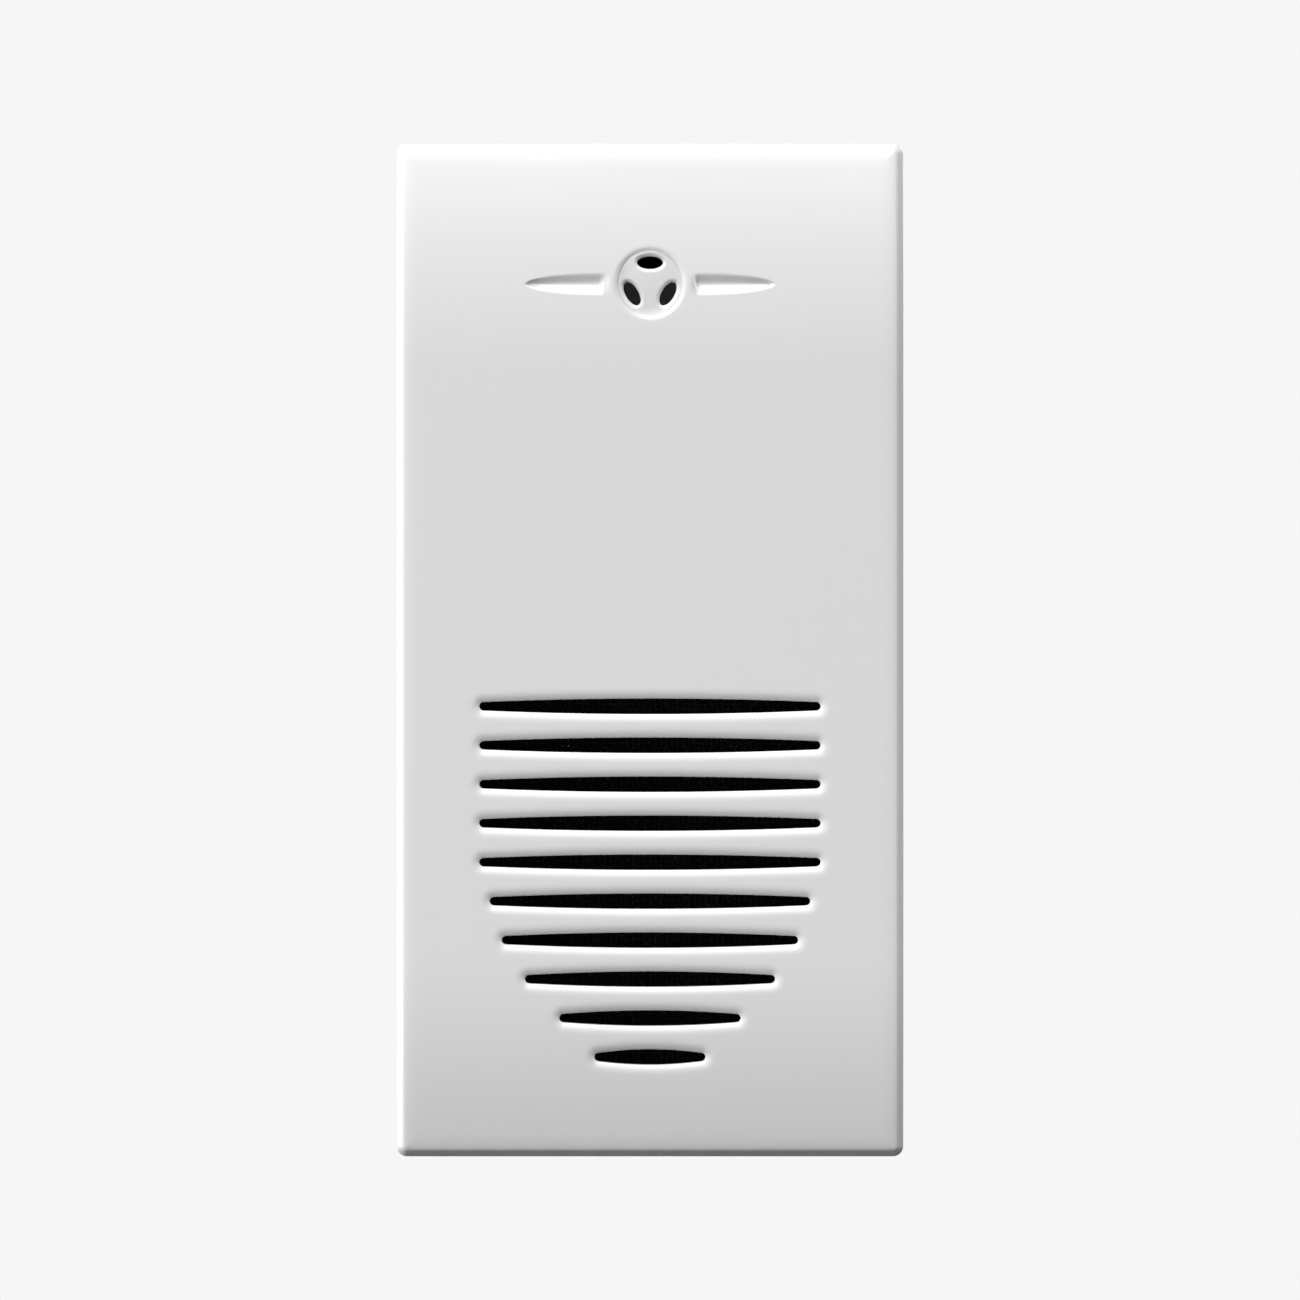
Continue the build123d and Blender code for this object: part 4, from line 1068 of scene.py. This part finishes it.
def oval_outline(turn, steps=40):
    """Points and outward directions round one oval hole, long across the turn's direction."""
    cos, sin = math.cos(turn), math.sin(turn)
    found = []
    for along, across in circle(steps):
        length, width = hole_half_length * along, hole_ring + hole_half_width * across
        point = (width * cos - length * sin, dial_z + width * sin + length * cos)
        steep, flat = along / hole_half_length, across / hole_half_width
        size = math.hypot(steep, flat)
        found.append((point, ((flat * cos - steep * sin) / size, (flat * sin + steep * cos) / size)))
    return found


for index in range(3):
    loop = oval_outline(math.pi / 2 + index * 2 * math.pi / 3)
    pierced(knob, loop, knob_rim, hub_back, on_knob)
edge_back = on_knob(0, dial_z + dial_radius - knob_edge)[0].y + knob_edge
profile = arc_profile(dial_radius - knob_edge, edge_back, knob_edge, -90, 0, steps=6)
profile += sharp_profile(
    (dial_radius, edge_back), (dial_radius, collar_front), (collar_radius, collar_front),
    (collar_radius, collar_back), (hub_radius, collar_back), (hub_radius, hub_back)
)
outside = lathed(knob, [*profile, (hub_radius, hub_back, 0, 1)], 0, dial_z, round_steps)
socket = lathed(knob, [
    (socket_radius, hub_back, 0, 1), (socket_radius, hub_back, -1, 0),
    (socket_radius, socket_floor, -1, 0), (socket_radius, socket_floor, 0, 1),
], 0, dial_z, round_steps)

# Two rings of points on the front, so that its crown shows between the holes.
crown_rings, crown_steps = (0.2 * mm, 0.38 * mm), 24
spots = [(r * way[0], dial_z + r * way[1]) for r in crown_rings for way in circle(crown_steps)]
knob.fill(outside[0], knob.front_holes, spots, on_knob)
knob.fill(outside[-1], [*knob.back_holes, socket[0]])
knob.fill(socket[-1], [])
dial_white = plastic(
    "dial_white", light=(0.80, 0.80, 0.812), dark=(0.785, 0.785, 0.80), roughness=0.3,
    grain=0.12 * mm, depth=0.0006 * mm
)
fit(knob.mesh(), "volume_dial", dial_white)

# Spindle and retainer of the dial
# A brass stud pressed into the dial stops the armature with its rounded tip. A
# sheet brass bridge on two pins of the cover keeps the dial in its hole.
softened("adjuster_spindle", turned_brass, edge=0.04 * mm)
softened("dial_retainer", rolled_brass, edge=0.05 * mm)

# Camera
# Straight in front of the face, with a long lens, as the photograph shows no
# sides at all.
photo_width = 57.68 * mm
sensor = 36.0
camera_data = bpy.data.cameras.new("camera")
camera_data.lens = 500
camera_data.sensor_width = sensor
camera_data.clip_start = 0.01
camera = bpy.data.objects.new("camera", camera_data)
camera.location = (0, face_front - photo_width * camera_data.lens / sensor, 0)
camera.rotation_euler = (math.pi / 2, 0, 0)
bpy.context.scene.collection.objects.link(camera)
bpy.context.scene.camera = camera

# Lights
# A broad key lamp from above and a fill from the front, both a little from the
# left, a weak lamp close on the left, and one behind for the rear views.


def lamp(name, direction, distance, size, power):
    """A square lamp that points at the middle of the face."""
    data = bpy.data.lights.new(name, "AREA")
    data.shape = "SQUARE"
    data.size = size
    data.energy = power
    light = bpy.data.objects.new(name, data)
    way = Vector(direction).normalized()
    light.location = way * distance
    light.rotation_euler = way.to_track_quat("Z", "Y").to_euler()
    light.visible_camera = False
    bpy.context.scene.collection.objects.link(light)


lamp("key", (-0.10, -0.42, 0.91), distance=2.4, size=1.2, power=44.7)
lamp("fill", (-0.12, -0.80, 0.60), distance=2.4, size=1.2, power=30.5)
lamp("left", (-1.0, -0.12, 0.1), distance=0.6, size=0.25, power=3.2)
lamp("back", (0.75, 0.80, 0.35), distance=2.4, size=1.2, power=30)

# Surroundings
# An even pale background, a dim fill, and a studio for the metals to reflect,
# bright above the horizon and darker below. Under it all is a pale floor.
world = bpy.data.worlds.new("world")
bpy.context.scene.world = world
world.use_nodes = True
sky = world.node_tree
path = step(sky, "ShaderNodeLightPath")
way = step(sky, "ShaderNodeSeparateXYZ", Vector=step(sky, "ShaderNodeTexCoord").outputs["Generated"])
height = step(sky, "ShaderNodeMapRange", From_Min=-1, Value=way.outputs["Z"])
studio = step(sky, "ShaderNodeValToRGB", Fac=height.outputs["Result"])
studio_tones = ((0, 0.12), (0.42, 0.2), (0.5, 0.75), (0.62, 0.95), (0.8, 0.55), (1, 0.4))
for place, tone in studio_tones:
    mark = studio.color_ramp.elements.new(place)
    mark.color = (tone, tone, tone, 1)
# The two marks that every ramp starts with are taken off.
for spare in (0, -1):
    studio.color_ramp.elements.remove(studio.color_ramp.elements[spare])
backdrop, fill = (0.9216, 0.9216, 0.9216, 1), (0.05, 0.05, 0.05, 1)
lit = mixed(sky, path.outputs["Is Glossy Ray"], fill, studio.outputs["Color"])
lit = mixed(sky, path.outputs["Is Transmission Ray"], lit, backdrop)
seen = mixed(sky, path.outputs["Is Camera Ray"], lit, backdrop)
feed(sky, sky.nodes["Background"].inputs["Color"], seen)

floor_half, floor_height = 1.1, -0.11
floor_mesh = bpy.data.meshes.new("floor")
floor_mesh.from_pydata(
    [(x * floor_half, y * floor_half, floor_height) for x, y in ((-1, -1), (1, -1), (1, 1), (-1, 1))],
    [], [(0, 1, 2, 3)],
)
floor = bpy.data.objects.new("floor", floor_mesh)
bpy.context.scene.collection.objects.link(floor)
floor_mesh.materials.append(plastic(
    "pale_floor", light=(0.68, 0.68, 0.68), dark=(0.66, 0.66, 0.66), roughness=0.75, spread=0.1,
    grain=4 * mm, cloud=90 * mm
))
# The floor throws no light on the part: its lower edge is dark in the photograph.
floor.visible_diffuse = False
bpy.context.scene.view_settings.view_transform = "Standard"
